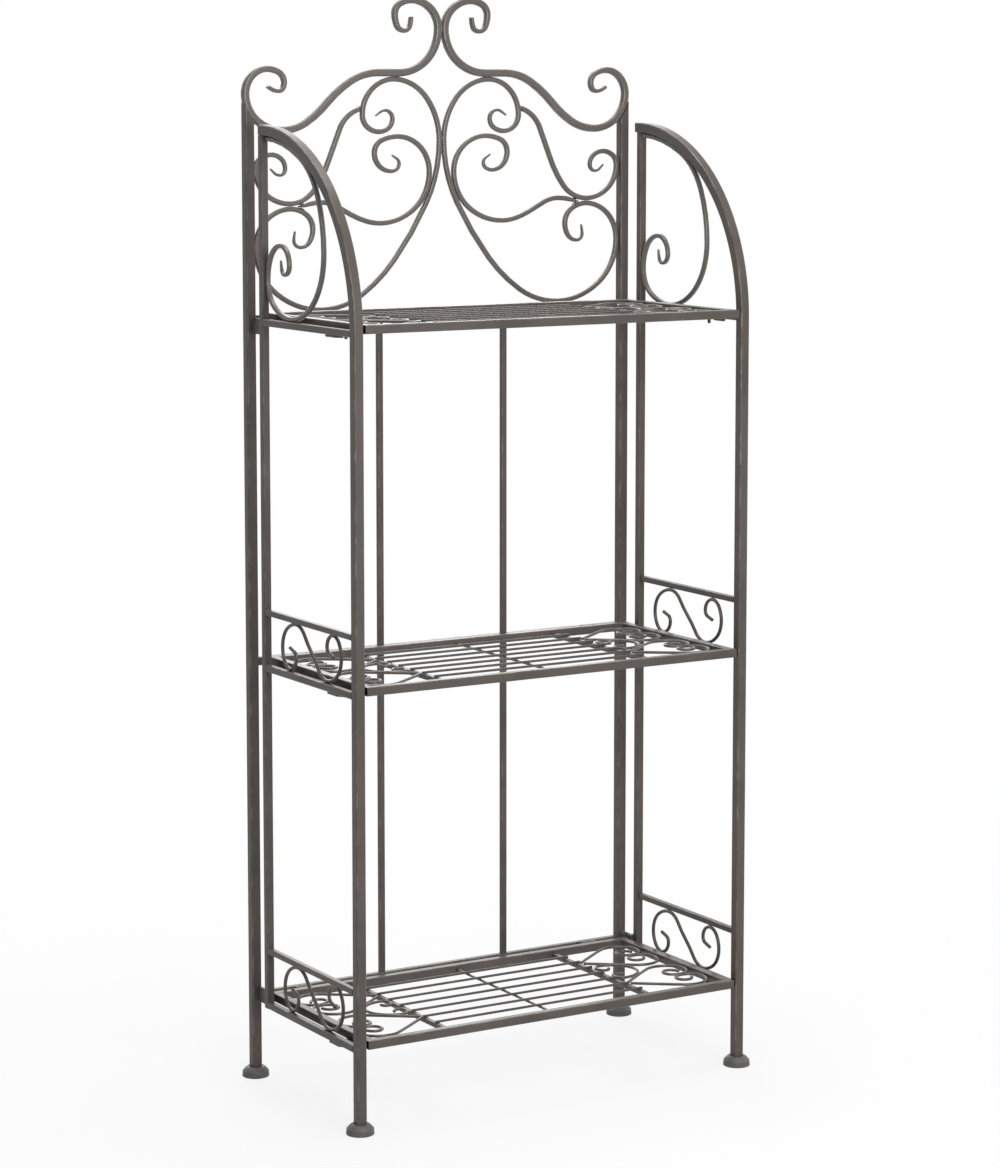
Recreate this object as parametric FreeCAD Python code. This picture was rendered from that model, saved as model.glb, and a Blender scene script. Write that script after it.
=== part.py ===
import FreeCAD, Part
import cmath
import math
import os

from FreeCAD import Vector

# Folding metal shelving unit: a scrolled back frame, two arched side frames hinged to it,
# and three wire shelves that hinge up at the back. All lengths are in millimetres.
# X runs along the width, the front faces -Y, Z is up, and the origin is on the floor
# in the middle of the unit.

# Overall sizes, over the outer faces of the posts
width = 525.0
depth = 270.0
height = 1270.0

# Heights of the lowest shelf above the floor and of the scrolled back above the top shelf
first_shelf_top = 106.0
scrolled_back_height = 364.0
level_names = ("bottom", "middle", "top")

# Gaps: welded pieces, a rail behind the leg that starts to arch beside it, a shelf on its
# catch plate, and a hinge pin in its bore
weld_gap = 0.1
rail_gap = 0.4
rest_gap = 0.3
bore_gap = 0.08
knuckle_gap = 0.3

# Post tube, shared by the rear posts and the two arched front posts
post_size = 12.0
post_bevel = 2.0
post_wall = 1.0
post_mitre_heading = 56.0

# Round foot caps
foot_diameter = 32.0
foot_top_diameter = 23.0
foot_side_height = 8.0
foot_height = 12.0
foot_bevel = 1.0
foot_floor = 3.0

# Crossbars and thin bars of the back frame
crossbar_depth = 8.0
crossbar_height = 10.0
crossbar_drop = 4.0
crossbar_wall = 1.0
back_bar_size = 7.0
back_bar_spacing_share = 0.3257
bar_bevel = 1.0

# Scrolls of the back frame
crest_bar = 9.0
crest_height = 160.5
crest_overhang = 0.5
heart_bar = 6.0

# Side frames: stile, bent arch post, rails
stile_size = 9.0
stile_bevel = 1.5
stile_wall = 1.0
stile_setback = 42.0
arch_spring_drop = 10.0
arch_end_length = 3.0
lower_rail_size = 8.0
lower_rail_drop = 3.7
gallery_rail_size = 7.0
gallery_rise = 55.5
arch_scroll_bar = 5.5
arch_scroll_length_share = 0.6464
gallery_wire = 4.2
gallery_scroll_length = 146.0

# Lift-off hinges of the side frames
barrel_diameter = 8.0
barrel_inset = 0.5
hinge_pin_diameter = 4.0
hinge_pin_recess = 1.0
side_hinge_height = 18.0
side_hinge_plate = 3.0
side_hinge_bevel = 5.0
knuckle_leaf_width = 6.0
knuckle_leaf_thickness = 1.8
top_hinge_drop = 16.0
bottom_hinge_drop = 5.0

# Shelves
shelf_rear_space = 30.0
post_slot = 2.5
frame_size = 10.0
frame_bevel = 1.2
shelf_bar_size = 6.0
shelf_bar_spacing_share = 0.5276
shelf_bar_drop = 4.0
wire_diameter = 3.0
wire_count = 7

# Scroll wires in the end panels of a shelf
panel_wire = 3.5
panel_wire_drop = 4.0
panel_heart_width_share = 0.425
panel_heart_spacing_share = 0.4727
panel_clasp_width_share = 0.2873
panel_clasp_length_share = 0.458

# Shelf hinges behind each shelf
shelf_hinge_inset = 50.5
shelf_hinge_width = 20.0
shelf_lug_thickness = 3.0
shelf_eye_reach = 8.0
shelf_eye_tab = 3.0

# Lock pins under a shelf, and the catch plates that they drop behind
lock_pin_diameter = 4.0
lock_pin_setback = 55.0
lock_pin_overhang = 5.5
lock_pin_gap = 1.0
catch_thickness = 3.0
catch_reach = 2.0

# Sides of the many small round pieces, and how far the short straight runs of the bent
# bars and of the small shelf wires leave their true arcs
round_sides = 12
foot_sides = 20
wire_sides = 6
chord_sag = 0.65
panel_sag = 1.1

# Turn in radians below which an arc counts as straight, and the sweep that mitres corners
straight_turn = 1e-6
mitred_corners = 1

# Scroll outlines: places of the centre line as shares of its box, each with the heading
# of the bar in degrees. Two tangent arcs join each place to the next. The crest crosses
# the post after its ninth place, and the hearts hang under the level from its sixth.
crest_post_index = 8
crest_level_index = 5
crest_shares = (
    (0.145, 0.871, 270), (0.183, 0.762, 0), (0.231, 0.891, 90), (0.140, 1.000, 180),
    (0.000, 0.782, 270), (0.211, 0.439, 0), (0.324, 0.439, 0), (0.590, 0.205, -47),
    (0.823, 0.000, 0), (1.000, 0.277, 90), (0.903, 0.465, 180), (0.807, 0.363, 270),
    (0.837, 0.297, 0), (0.891, 0.333, 40),
)
heart_shares = (
    (0.354, 0.840, 145), (0.300, 0.864, 180), (0.260, 0.827, 270), (0.337, 0.771, 0),
    (0.425, 0.845, 90), (0.254, 1.000, 180), (0.000, 0.732, 270), (0.254, 0.207, -51),
    (0.650, 0.000, 0), (1.000, 0.277, 90), (0.817, 0.441, 180), (0.696, 0.352, 270),
    (0.763, 0.274, 0), (0.798, 0.304, 90), (0.792, 0.345, 97),
)
inner_shares = (
    (0.264, 0.669, 218), (0.224, 0.631, 270), (0.270, 0.598, 0), (0.360, 0.678, 90),
    (0.233, 0.750, 180), (0.056, 0.594, 270), (0.329, 0.371, 0), (0.483, 0.408, 26),
    (0.661, 0.467, 0), (0.729, 0.462, -8),
)
outer_shares = (
    (0.441, 0.870, -15), (0.604, 0.659, -70), (0.821, 0.464, 0), (1.000, 0.613, 90),
    (0.917, 0.676, 180), (0.842, 0.616, 270), (0.871, 0.587, 0), (0.922, 0.616, 45),
)
arch_scroll_shares = (
    (1.000, 1.000, 182), (0.418, 0.904, 205), (0.000, 0.385, 270), (0.577, 0.000, 0),
    (1.000, 0.207, 90), (0.760, 0.405, 180), (0.608, 0.299, 270), (0.692, 0.243, 0),
    (0.760, 0.324, 85),
)
gallery_scroll_shares = (
    (0.500, 0.500, 40), (0.756, 1.000, 0), (1.000, 0.435, -90), (0.871, 0.000, -180),
    (0.763, 0.280, 90), (0.871, 0.467, 20),
)
panel_heart_shares = (
    (0.000, 0.945, -40), (0.442, 0.267, -39), (0.719, 0.000, 0), (1.000, 0.556, 90),
    (0.804, 0.958, 180), (0.639, 0.689, 270), (0.740, 0.478, 0), (0.862, 0.711, 80),
)
panel_clasp_shares = (
    (1.000, 0.000, 90), (0.230, 1.000, 180), (0.000, 0.640, 270), (0.190, 0.330, 0),
    (0.350, 0.560, 90),
)

# Places worked out from the sizes
half_width = width / 2
half_depth = depth / 2
post_x = half_width - post_size / 2
post_y = half_depth - post_size / 2
post_inner = half_width - post_size
stile_x = half_width - stile_size / 2
stile_rear = half_depth - stile_setback
stile_front = stile_rear - stile_size
front_post_rear = post_size - half_depth
crossbar_front = post_y - crossbar_depth / 2
back_bar_x = back_bar_spacing_share * width / 2

shelf_pitch = (height - scrolled_back_height - first_shelf_top) / (len(level_names) - 1)
shelf_tops = [first_shelf_top + level * shelf_pitch for level in range(len(level_names))]
shelf_half_width = post_inner - post_slot
shelf_front = -half_depth
shelf_rear = half_depth - shelf_rear_space
inside_half_width = shelf_half_width - frame_size
inside_front = shelf_front + frame_size
inside_rear = shelf_rear - frame_size
inside_depth = inside_rear - inside_front
shelf_axis_y = shelf_rear + shelf_eye_reach
shelf_axis_drop = frame_size / 2
shelf_hinge_x = post_inner - shelf_hinge_inset
shelf_bar_x = shelf_bar_spacing_share * width / 2
panel_bar_face = shelf_bar_x + shelf_bar_size / 2

arch_radius = stile_rear - arch_end_length + post_y
arch_spring = shelf_tops[-1] - arch_spring_drop
arch_height = arch_spring + arch_radius + post_size / 2

barrel_x = half_width - stile_size + barrel_inset
barrel_y = stile_rear + barrel_diameter / 2
hinge_middles = (shelf_tops[0] - bottom_hinge_drop, shelf_tops[-1] - top_hinge_drop)

up = Vector(0, 0, 1)
sides = (("left", -1), ("right", 1))
parts = {}


# Tangent arcs in a plane, with its points held as complex numbers

def dot(one, other):
    return (one.conjugate() * other).real


def heading_after(start, heading, end):
    """Heading at the end of the arc that leaves start with the given heading."""
    return ((end - start) / abs(end - start)) ** 2 / heading


def biarc_knot(start, heading, end, end_heading):
    """Point where the two tangent arcs between two headed points meet."""
    chord = end - start
    along = dot(chord, heading + end_heading)
    spread = 2 * (1 - dot(heading, end_heading))
    if spread < straight_turn ** 2:
        reach = dot(chord, chord) / (2 * along)
    else:
        reach = (math.sqrt(along ** 2 + spread * dot(chord, chord)) - along) / spread
    return (start + end + reach * (heading - end_heading)) / 2


def scroll_arcs(rows, corner, far_corner):
    """Arcs of a scroll in its box, each as start, heading and end."""
    span = far_corner - corner
    places = []
    for across_share, up_share, degrees in rows:
        place = corner + complex(across_share * span.real, up_share * span.imag)
        places.append((place, cmath.rect(1, math.radians(degrees))))
    arcs = []
    for (start, heading), (end, end_heading) in zip(places, places[1:]):
        knot = biarc_knot(start, heading, end, end_heading)
        arcs.append((start, heading, knot))
        arcs.append((knot, heading_after(start, heading, knot), end))
    return arcs


def arc_turn(arc):
    """How far an arc turns to the left, in radians."""
    start, heading, end = arc
    return 2 * cmath.phase((end - start) / heading)


def arc_point(arc, share):
    """Point at a share of the turn of an arc."""
    start, heading, end = arc
    turn = arc_turn(arc)
    if abs(turn) < straight_turn:
        return start + share * (end - start)
    centre = start + (end - start) / (1 - cmath.rect(1, turn))
    return centre + (start - centre) * cmath.rect(1, turn * share)


def arc_steps(arc, sag):
    """Number of straight runs that follow an arc within the sag allowed."""
    turn = abs(arc_turn(arc))
    if turn < straight_turn:
        return 1
    radius = abs(arc[2] - arc[0]) / 2 / math.sin(turn / 2)
    return max(1, math.ceil(turn / math.sqrt(8 * sag / radius)))


# Bars, tubes and other basic solids

def bar_section(centre, across, upright, size, corners):
    """Polygon with its flats size apart, standing for a round bar."""
    reach = size / 2 / math.cos(math.pi / corners)
    points = []
    for number in range(corners + 1):
        turn = math.pi * (2 * number + 1) / corners
        points.append(centre + across * (reach * math.cos(turn)) + upright * (reach * math.sin(turn)))
    return Part.makePolygon(points)


def bevelled_section(centre, across, upright, across_size, upright_size, bevel):
    """Rectangle with its four corners cut by equal bevels."""
    a = across_size / 2
    b = upright_size / 2
    outline = (
        (a, b - bevel), (a - bevel, b), (bevel - a, b), (-a, b - bevel),
        (-a, bevel - b), (bevel - a, -b), (a - bevel, -b), (a, bevel - b), (a, b - bevel),
    )
    return Part.makePolygon([centre + across * p + upright * q for p, q in outline])


def bar(start, end, across, across_size, upright_size, bevel):
    """Straight bar of bevelled section, across being the direction of its first size."""
    along = end - start
    upright = Vector(along).normalize().cross(across)
    section = bevelled_section(start, across, upright, across_size, upright_size, bevel)
    return Part.Face(section).extrude(along)


def hollow(start, end, across, across_size, upright_size, bevel, wall):
    """Inside of a tube, whose bevels leave its wall as thick as its flats do."""
    inside_bevel = bevel - (2 - math.sqrt(2)) * wall
    return bar(start, end, across, across_size - 2 * wall, upright_size - 2 * wall, inside_bevel)


def rod(start, end, diameter):
    """Many-sided rod whose corners lie on the diameter."""
    return prism(start, end, diameter * math.cos(math.pi / round_sides), round_sides)


def bore(start, end, diameter):
    """Many-sided hole whose flats lie on the diameter, so that a round pin turns in it."""
    return prism(start, end, diameter, round_sides)


def prism(start, end, size, corners):
    """Straight prism with its flats size apart."""
    along = end - start
    side_on = Vector(0, 0, 1) if abs(along.z) < along.Length / 2 else Vector(1, 0, 0)
    upright = Vector(along).normalize().cross(side_on)
    return Part.Face(bar_section(start, side_on, upright, size, corners)).extrude(along)


def box(x_range, y_range, z_range):
    """Box between pairs of places along X, Y and Z."""
    low = Vector(min(x_range), min(y_range), min(z_range))
    high = Vector(max(x_range), max(y_range), max(z_range))
    size = high - low
    return Part.makeBox(size.x, size.y, size.z, low)


def plate(points, thickness):
    """Flat plate from an outline in space, thickened along a vector."""
    return Part.Face(Part.makePolygon(points + points[:1])).extrude(thickness)


def scroll(arcs, place, normal, size, sag):
    """Bent bar that follows the arcs of a scroll in short straight runs."""
    points = [arcs[0][0]]
    for arc in arcs:
        steps = arc_steps(arc, sag)
        points += [arc_point(arc, (step + 1) / steps) for step in range(steps)]
    left = []
    right = []
    for number, point in enumerate(points):
        before = points[max(number - 1, 0)]
        after = points[min(number + 1, len(points) - 1)]
        arriving = (point - before) or (after - point)
        leaving = (after - point) or (point - before)
        direction = arriving / abs(arriving) + leaving / abs(leaving)
        direction /= abs(direction)
        spread = size / 2 / dot(leaving / abs(leaving), direction)
        left.append(point + 1j * direction * spread)
        right.append(point - 1j * direction * spread)
    outline = [place(point) - normal * (size / 2) for point in left + right[::-1]]
    return plate(outline, normal * size)


def group(solids):
    return Part.makeCompound(solids)


# Back frame

def back_plane(side):
    return lambda point: Vector(side * point.real, post_y, point.imag)


def crest_arcs():
    low = height - crest_height + crest_bar / 2
    corner = complex(crest_bar / 2 + weld_gap / 2, low)
    far_corner = complex(half_width + crest_overhang - crest_bar / 2, height - crest_bar / 2)
    return scroll_arcs(crest_shares, corner, far_corner)


def crest_underside():
    """Height of the crest's level stretch, under which the hearts are welded."""
    low = height - crest_height + crest_bar / 2
    high = height - crest_bar / 2
    level_share = crest_shares[crest_level_index][1]
    return low + level_share * (high - low) - crest_bar / 2


def heart_box():
    """Box of the centre lines of the heart and of the two scrolls that fill it."""
    inset = heart_bar / 2 + weld_gap / 2
    low = shelf_tops[-1] - crossbar_drop + inset
    return complex(inset, low), complex(post_inner - inset, crest_underside() - inset)


def post_top():
    """Outer side of the crest where it crosses the post, and its heading there."""
    wanted = cmath.rect(1, math.radians(post_mitre_heading))
    for start, heading, end in crest_arcs()[2 * crest_post_index:2 * crest_post_index + 2]:
        leaving = heading_after(start, heading, end)
        if dot(1j * heading, wanted) >= 0 >= dot(1j * leaving, wanted):
            turn = arc_turn((start, heading, end))
            share = cmath.phase(wanted / heading) / turn
            middle = arc_point((start, heading, end), share)
            return middle - 1j * wanted * (crest_bar / 2 + weld_gap / 2), wanted
    raise ValueError("the crest doesn't reach the mitre heading at the post")


def rear_post(side):
    """Tube from its foot cap up to the crest, closed by a mitred top under the crest."""
    point, heading = post_top()
    slope = heading.imag / heading.real
    outline = []
    for x in (post_inner - post_size, half_width + post_size):
        outline.append(Vector(side * x, post_y - post_size, point.imag + (x - point.real) * slope))
    crown = outline[-1].z
    beyond = [Vector(corner.x, corner.y, crown + post_size) for corner in outline[::-1]]
    above = plate(outline + beyond, Vector(0, 2 * post_size, 0))
    foot = Vector(side * post_x, post_y, foot_floor)
    across = Vector(1, 0, 0)
    top = Vector(side * post_x, post_y, crown)
    body = bar(foot, top, across, post_size, post_size, post_bevel).cut(above)
    inside_top = point.imag + (post_inner - point.real) * slope - post_wall
    end = Vector(side * post_x, post_y, inside_top)
    return body.cut(hollow(foot, end, across, post_size, post_size, post_bevel, post_wall))


def foot_cap(x, y):
    """Round cap with a socket for the post."""
    levels = (
        (foot_diameter - 2 * foot_bevel, 0),
        (foot_diameter, foot_bevel),
        (foot_diameter, foot_side_height),
        (foot_top_diameter, foot_height),
    )
    rings = []
    for diameter, z in levels:
        centre = Vector(x, y, z)
        rings.append(bar_section(centre, Vector(1, 0, 0), Vector(0, 1, 0), diameter, foot_sides))
    cap = Part.makeLoft(rings, True, True)
    floor = Vector(x, y, foot_floor)
    top = Vector(x, y, foot_height)
    return cap.cut(bar(floor, top, Vector(1, 0, 0), post_size, post_size, post_bevel))


def crossbar(top):
    centre_z = top - crossbar_drop - crossbar_height / 2
    start = Vector(-post_inner, post_y, centre_z)
    end = Vector(post_inner, post_y, centre_z)
    sizes = (crossbar_height, crossbar_depth, bar_bevel)
    return bar(start, end, up, *sizes).cut(hollow(start, end, up, *sizes, crossbar_wall))


def back_bars():
    """Thin upright bars, in one length between each crossbar and the next."""
    bars = []
    for lower, upper in zip(shelf_tops, shelf_tops[1:]):
        for _, side in sides:
            start = Vector(side * back_bar_x, post_y, lower - crossbar_drop)
            end = Vector(side * back_bar_x, post_y, upper - crossbar_drop - crossbar_height)
            bars.append(bar(start, end, Vector(1, 0, 0), back_bar_size, back_bar_size, bar_bevel))
    return group(bars)


def side_hinge_bracket(side, middle):
    """Plate on the rear post with the lower barrel of a lift-off hinge and its pin."""
    low = middle - side_hinge_height / 2
    high = middle + side_hinge_height / 2
    post_front = half_depth - post_size
    knuckle_clear = barrel_y + barrel_diameter / 2 + knuckle_gap
    x = side * barrel_x - side_hinge_plate / 2
    outline = [
        Vector(x, barrel_y, low),
        Vector(x, post_front, low),
        Vector(x, post_front, high - side_hinge_bevel),
        Vector(x, post_front - side_hinge_bevel, high),
        Vector(x, knuckle_clear, high),
        Vector(x, knuckle_clear, middle),
        Vector(x, barrel_y, middle),
    ]
    leaf = plate(outline, Vector(side_hinge_plate, 0, 0))
    foot = Vector(side * barrel_x, barrel_y, low)
    barrel = rod(foot, foot + up * (middle - low), barrel_diameter)
    pin = rod(foot, foot + up * (high - low - hinge_pin_recess), hinge_pin_diameter)
    return leaf.fuse([barrel, pin]).removeSplitter()


def shelf_hinge_bracket(side, top):
    """Two lugs on the crossbar with the hinge pin of the shelf riveted through them."""
    axis_z = top - shelf_axis_drop
    reach = barrel_diameter / 2
    corner = reach * math.tan(math.pi / 8)
    near = side * shelf_hinge_x - shelf_hinge_width / 2
    far = near + shelf_hinge_width
    outline = [
        (crossbar_front, axis_z - reach), (shelf_axis_y - corner, axis_z - reach),
        (shelf_axis_y - reach, axis_z - corner), (shelf_axis_y - reach, axis_z + corner),
        (shelf_axis_y - corner, axis_z + reach), (shelf_axis_y + corner, axis_z + reach),
        (crossbar_front, top - crossbar_drop),
    ]
    pieces = []
    for x in (near, far - shelf_lug_thickness):
        points = [Vector(x, y, z) for y, z in outline]
        pieces.append(plate(points, Vector(shelf_lug_thickness, 0, 0)))
    start = Vector(near, shelf_axis_y, axis_z)
    pin = rod(start, Vector(far, shelf_axis_y, axis_z), hinge_pin_diameter)
    return pin.fuse(pieces).removeSplitter()


def make_back_frame():
    corner, far_corner = heart_box()
    for name, side in sides:
        place = back_plane(side)
        normal = Vector(0, 1, 0)
        parts["rear_post_" + name] = rear_post(side)
        parts["rear_foot_" + name] = foot_cap(side * post_x, post_y)
        parts["crest_scroll_" + name] = scroll(crest_arcs(), place, normal, crest_bar, chord_sag)
        for kind, rows in (("heart", heart_shares), ("inner", inner_shares), ("outer", outer_shares)):
            arcs = scroll_arcs(rows, corner, far_corner)
            parts[kind + "_scroll_" + name] = scroll(arcs, place, normal, heart_bar, chord_sag)
        brackets = [side_hinge_bracket(side, middle) for middle in hinge_middles]
        parts["side_hinge_bracket_" + name] = group(brackets)
    for level, top in zip(level_names, shelf_tops):
        parts["crossbar_" + level] = crossbar(top)
    parts["back_bars"] = back_bars()
    brackets = [shelf_hinge_bracket(side, top) for top in shelf_tops for _, side in sides]
    parts["shelf_hinge_brackets"] = group(brackets)


# Side frames

def arch_post(side):
    """Front leg, quarter arch and short level end bent from one length, from the foot cap
    back to the stile. The arch is laid in short straight runs."""
    spring = complex(-post_y, arch_spring)
    crown = complex(arch_radius - post_y, arch_spring + arch_radius)
    arc = (spring, 1j, crown)
    steps = arc_steps(arc, chord_sag)
    line = [complex(-post_y, foot_floor)]
    line += [arc_point(arc, step / steps) for step in range(steps + 1)]
    line.append(complex(stile_rear, crown.imag))
    points = [Vector(side * post_x, point.real, point.imag) for point in line]
    section = bevelled_section(
        points[0], Vector(1, 0, 0), Vector(0, 1, 0), post_size, post_size, post_bevel)
    return Part.makePolygon(points).makePipeShell([section], True, False, mitred_corners)


def lower_rail_top(top):
    """Height of the upper face of the lower rail beside a shelf; its underside hangs a
    little below the shelf's frame."""
    return top - frame_size - lower_rail_drop + lower_rail_size


def stile(side):
    """Upright tube under the arch, closed at its lower end flush with the lowest rail."""
    y = stile_rear - stile_size / 2
    low = lower_rail_top(shelf_tops[0]) - lower_rail_size
    foot = Vector(side * stile_x, y, low)
    top = Vector(side * stile_x, y, arch_height - post_size - chord_sag)
    across = Vector(1, 0, 0)
    sizes = (stile_size, stile_size, stile_bevel)
    inside = hollow(foot + up * stile_wall, top, across, *sizes, stile_wall)
    return bar(foot, top, across, *sizes).cut(inside)


def side_rail(side, size, centre_z):
    x = side * (half_width - size / 2)
    start = Vector(x, front_post_rear + rail_gap, centre_z)
    end = Vector(x, stile_front, centre_z)
    return bar(start, end, up, size, size, bar_bevel)


def arch_scroll(side):
    inset = arch_scroll_bar / 2 + weld_gap
    rear = stile_front - inset
    low = lower_rail_top(shelf_tops[-1]) + inset
    high = arch_height - post_size - chord_sag - inset
    length = arch_scroll_length_share * arch_radius
    corner = complex(rear - (length - arch_scroll_bar), low)
    arcs = scroll_arcs(arch_scroll_shares, corner, complex(rear, high))
    place = lambda point: Vector(side * post_x, point.real, point.imag)
    return scroll(arcs, place, Vector(1, 0, 0), arch_scroll_bar, chord_sag)


def gallery_scroll(side, top):
    """S-scroll between a lower rail and the gallery rail, made of one half turned about."""
    inset = gallery_wire / 2 + weld_gap
    middle_y = (front_post_rear + stile_front) / 2
    reach = (gallery_scroll_length - gallery_wire) / 2
    low = lower_rail_top(top) + inset
    high = top + gallery_rise - gallery_rail_size / 2 - inset
    corner = complex(middle_y - reach, low)
    far_corner = complex(middle_y + reach, high)
    arcs = scroll_arcs(gallery_scroll_shares, corner, far_corner)
    turned = [(corner + far_corner - end, heading_after(start, heading, end),
               corner + far_corner - start) for start, heading, end in arcs[::-1]]
    place = lambda point: Vector(side * post_x, point.real, point.imag)
    return scroll(turned + arcs, place, Vector(1, 0, 0), gallery_wire, chord_sag)


def catch_plate(side, top):
    """Corner plate on the inner face of a lower rail: the shelf rests on it and its slanted
    edge locks behind the shelf's pin, so that the side frame can't fold inward under a
    lowered shelf."""
    z = top - frame_size - rest_gap
    pin_x = shelf_half_width - frame_size / 2
    pin_y = shelf_front + lock_pin_setback
    slant = pin_x - pin_y + math.sqrt(2) * (lock_pin_diameter / 2 + lock_pin_gap)
    inner = inside_half_width - catch_reach
    outer = half_width - lower_rail_size - weld_gap
    outline = [
        Vector(side * outer, outer - slant, z),
        Vector(side * inner, inner - slant, z),
        Vector(side * inner, front_post_rear, z),
        Vector(side * outer, front_post_rear, z),
    ]
    return plate(outline, Vector(0, 0, -catch_thickness))


def hinge_knuckle(side, middle):
    """Upper barrel of a lift-off hinge with its leaf on the rear face of the stile."""
    low = middle + knuckle_gap
    high = middle + side_hinge_height / 2
    foot = Vector(side * barrel_x, barrel_y, low)
    top = Vector(side * barrel_x, barrel_y, high)
    leaf_x = (side * barrel_x, side * (barrel_x + knuckle_leaf_width))
    leaf = box(leaf_x, (stile_rear, stile_rear + knuckle_leaf_thickness), (low, high))
    barrel = rod(foot, top, barrel_diameter).fuse(leaf)
    return barrel.cut(bore(foot, top, hinge_pin_diameter + 2 * bore_gap)).removeSplitter()


def make_side_frame(name, side):
    parts["arch_post_" + name] = arch_post(side)
    parts["front_foot_" + name] = foot_cap(side * post_x, -post_y)
    parts["stile_" + name] = stile(side)
    parts["arch_scroll_" + name] = arch_scroll(side)
    lower = [side_rail(side, lower_rail_size, lower_rail_top(top) - lower_rail_size / 2)
             for top in shelf_tops]
    parts["lower_rails_" + name] = group(lower)
    galleries = shelf_tops[:-1]
    rails = [side_rail(side, gallery_rail_size, top + gallery_rise) for top in galleries]
    parts["gallery_rails_" + name] = group(rails)
    parts["gallery_scrolls_" + name] = group([gallery_scroll(side, top) for top in galleries])
    parts["catch_plates_" + name] = group([catch_plate(side, top) for top in shelf_tops])
    parts["hinge_knuckles_" + name] = group([hinge_knuckle(side, z) for z in hinge_middles])


# Shelves

def shelf_frame(top):
    """Front and rear rail with the two end rails between them."""
    z = top - frame_size / 2
    rails = []
    for y in (shelf_front + frame_size / 2, shelf_rear - frame_size / 2):
        start = Vector(-shelf_half_width, y, z)
        end = Vector(shelf_half_width, y, z)
        rails.append(bar(start, end, up, frame_size, frame_size, frame_bevel))
    for _, side in sides:
        x = side * (shelf_half_width - frame_size / 2)
        start = Vector(x, inside_front, z)
        end = Vector(x, inside_rear, z)
        rails.append(bar(start, end, up, frame_size, frame_size, frame_bevel))
    return group(rails)


def shelf_bars(top):
    """The two cross bars that carry the ends of the long wires."""
    z = top - shelf_bar_drop - shelf_bar_size / 2
    bars = []
    for _, side in sides:
        start = Vector(side * shelf_bar_x, inside_front, z)
        end = Vector(side * shelf_bar_x, inside_rear, z)
        bars.append(bar(start, end, up, shelf_bar_size, shelf_bar_size, bar_bevel))
    return group(bars)


def shelf_wires(top):
    """Long wires on the two cross bars, and the one wire that crosses under them."""
    z = top - shelf_bar_drop + wire_diameter / 2
    spacing = inside_depth / (wire_count + 1)
    wires = []
    for number in range(wire_count):
        y = inside_front + spacing * (number + 1)
        start = Vector(-panel_bar_face, y, z)
        end = Vector(panel_bar_face, y, z)
        wires.append(prism(start, end, wire_diameter, wire_sides))
    start = Vector(0, inside_front, z - wire_diameter)
    end = Vector(0, inside_rear, z - wire_diameter)
    wires.append(prism(start, end, wire_diameter, wire_sides))
    return group(wires)


def panel_scrolls(side, top):
    """Two hearts lying on their side and the C-scroll that clasps them at the cross bar."""
    inset = panel_wire / 2 + weld_gap
    z = top - panel_wire_drop
    middle_y = (inside_front + inside_rear) / 2
    reach = (panel_heart_width_share * inside_depth - panel_wire) / 2
    near = panel_bar_face + inset
    far = inside_half_width - inset
    wires = []
    for heart in (-1, 1):
        heart_y = middle_y + heart * panel_heart_spacing_share * inside_depth / 2
        for arm in (-1, 1):
            place = lambda point: Vector(side * point.real, heart_y + arm * point.imag, z)
            arcs = scroll_arcs(panel_heart_shares, complex(near, -reach), complex(far, 0))
            wires.append(scroll(arcs, place, up, panel_wire, panel_sag))
    clasp_reach = (panel_clasp_width_share * inside_depth - panel_wire) / 2
    tip = near + panel_clasp_length_share * (inside_half_width - panel_bar_face) - panel_wire
    half = scroll_arcs(panel_clasp_shares, complex(near, 0), complex(tip, clasp_reach))
    other = [(end.conjugate(), -heading_after(start, heading, end).conjugate(),
              start.conjugate()) for start, heading, end in half[::-1]]
    place = lambda point: Vector(side * point.real, middle_y + point.imag, z)
    wires.append(scroll(other + half, place, up, panel_wire, panel_sag))
    return group(wires)


def lock_pins(top):
    """Pins under the end rails that stand behind the catch plates."""
    pins = []
    low = top - frame_size - rest_gap - catch_thickness - lock_pin_overhang
    for _, side in sides:
        x = side * (shelf_half_width - frame_size / 2)
        y = shelf_front + lock_pin_setback
        pins.append(rod(Vector(x, y, low), Vector(x, y, top - frame_size), lock_pin_diameter))
    return group(pins)


def hinge_eyes(top):
    """Eyes behind the rear rail, between the lugs of the shelf hinges."""
    axis_z = top - shelf_axis_drop
    half_length = shelf_hinge_width / 2 - shelf_lug_thickness - knuckle_gap
    eyes = []
    for _, side in sides:
        near = side * shelf_hinge_x - half_length
        far = side * shelf_hinge_x + half_length
        start = Vector(near, shelf_axis_y, axis_z)
        end = Vector(far, shelf_axis_y, axis_z)
        tab_z = (axis_z - shelf_eye_tab / 2, axis_z + shelf_eye_tab / 2)
        tab = box((near, far), (shelf_rear, shelf_axis_y), tab_z)
        hole = bore(start, end, hinge_pin_diameter + 2 * bore_gap)
        eyes.append(rod(start, end, barrel_diameter).fuse(tab).cut(hole).removeSplitter())
    return group(eyes)


def make_shelf(level, top):
    parts["shelf_frame_" + level] = shelf_frame(top)
    parts["shelf_bars_" + level] = shelf_bars(top)
    parts["shelf_wires_" + level] = shelf_wires(top)
    for name, side in sides:
        parts["end_scrolls_" + name + "_" + level] = panel_scrolls(side, top)
    parts["lock_pins_" + level] = lock_pins(top)
    parts["hinge_eyes_" + level] = hinge_eyes(top)


make_back_frame()
for side_name, side_sign in sides:
    make_side_frame(side_name, side_sign)
for level_name, level_top in zip(level_names, shelf_tops):
    make_shelf(level_name, level_top)

os.makedirs("parts", exist_ok=True)
for part_name, shape in parts.items():
    shape.exportStep(os.path.join("parts", part_name + ".step"))
    print(part_name, len(shape.Solids), round(shape.Volume), shape.isValid())
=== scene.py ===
import cmath
import math
import random

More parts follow.
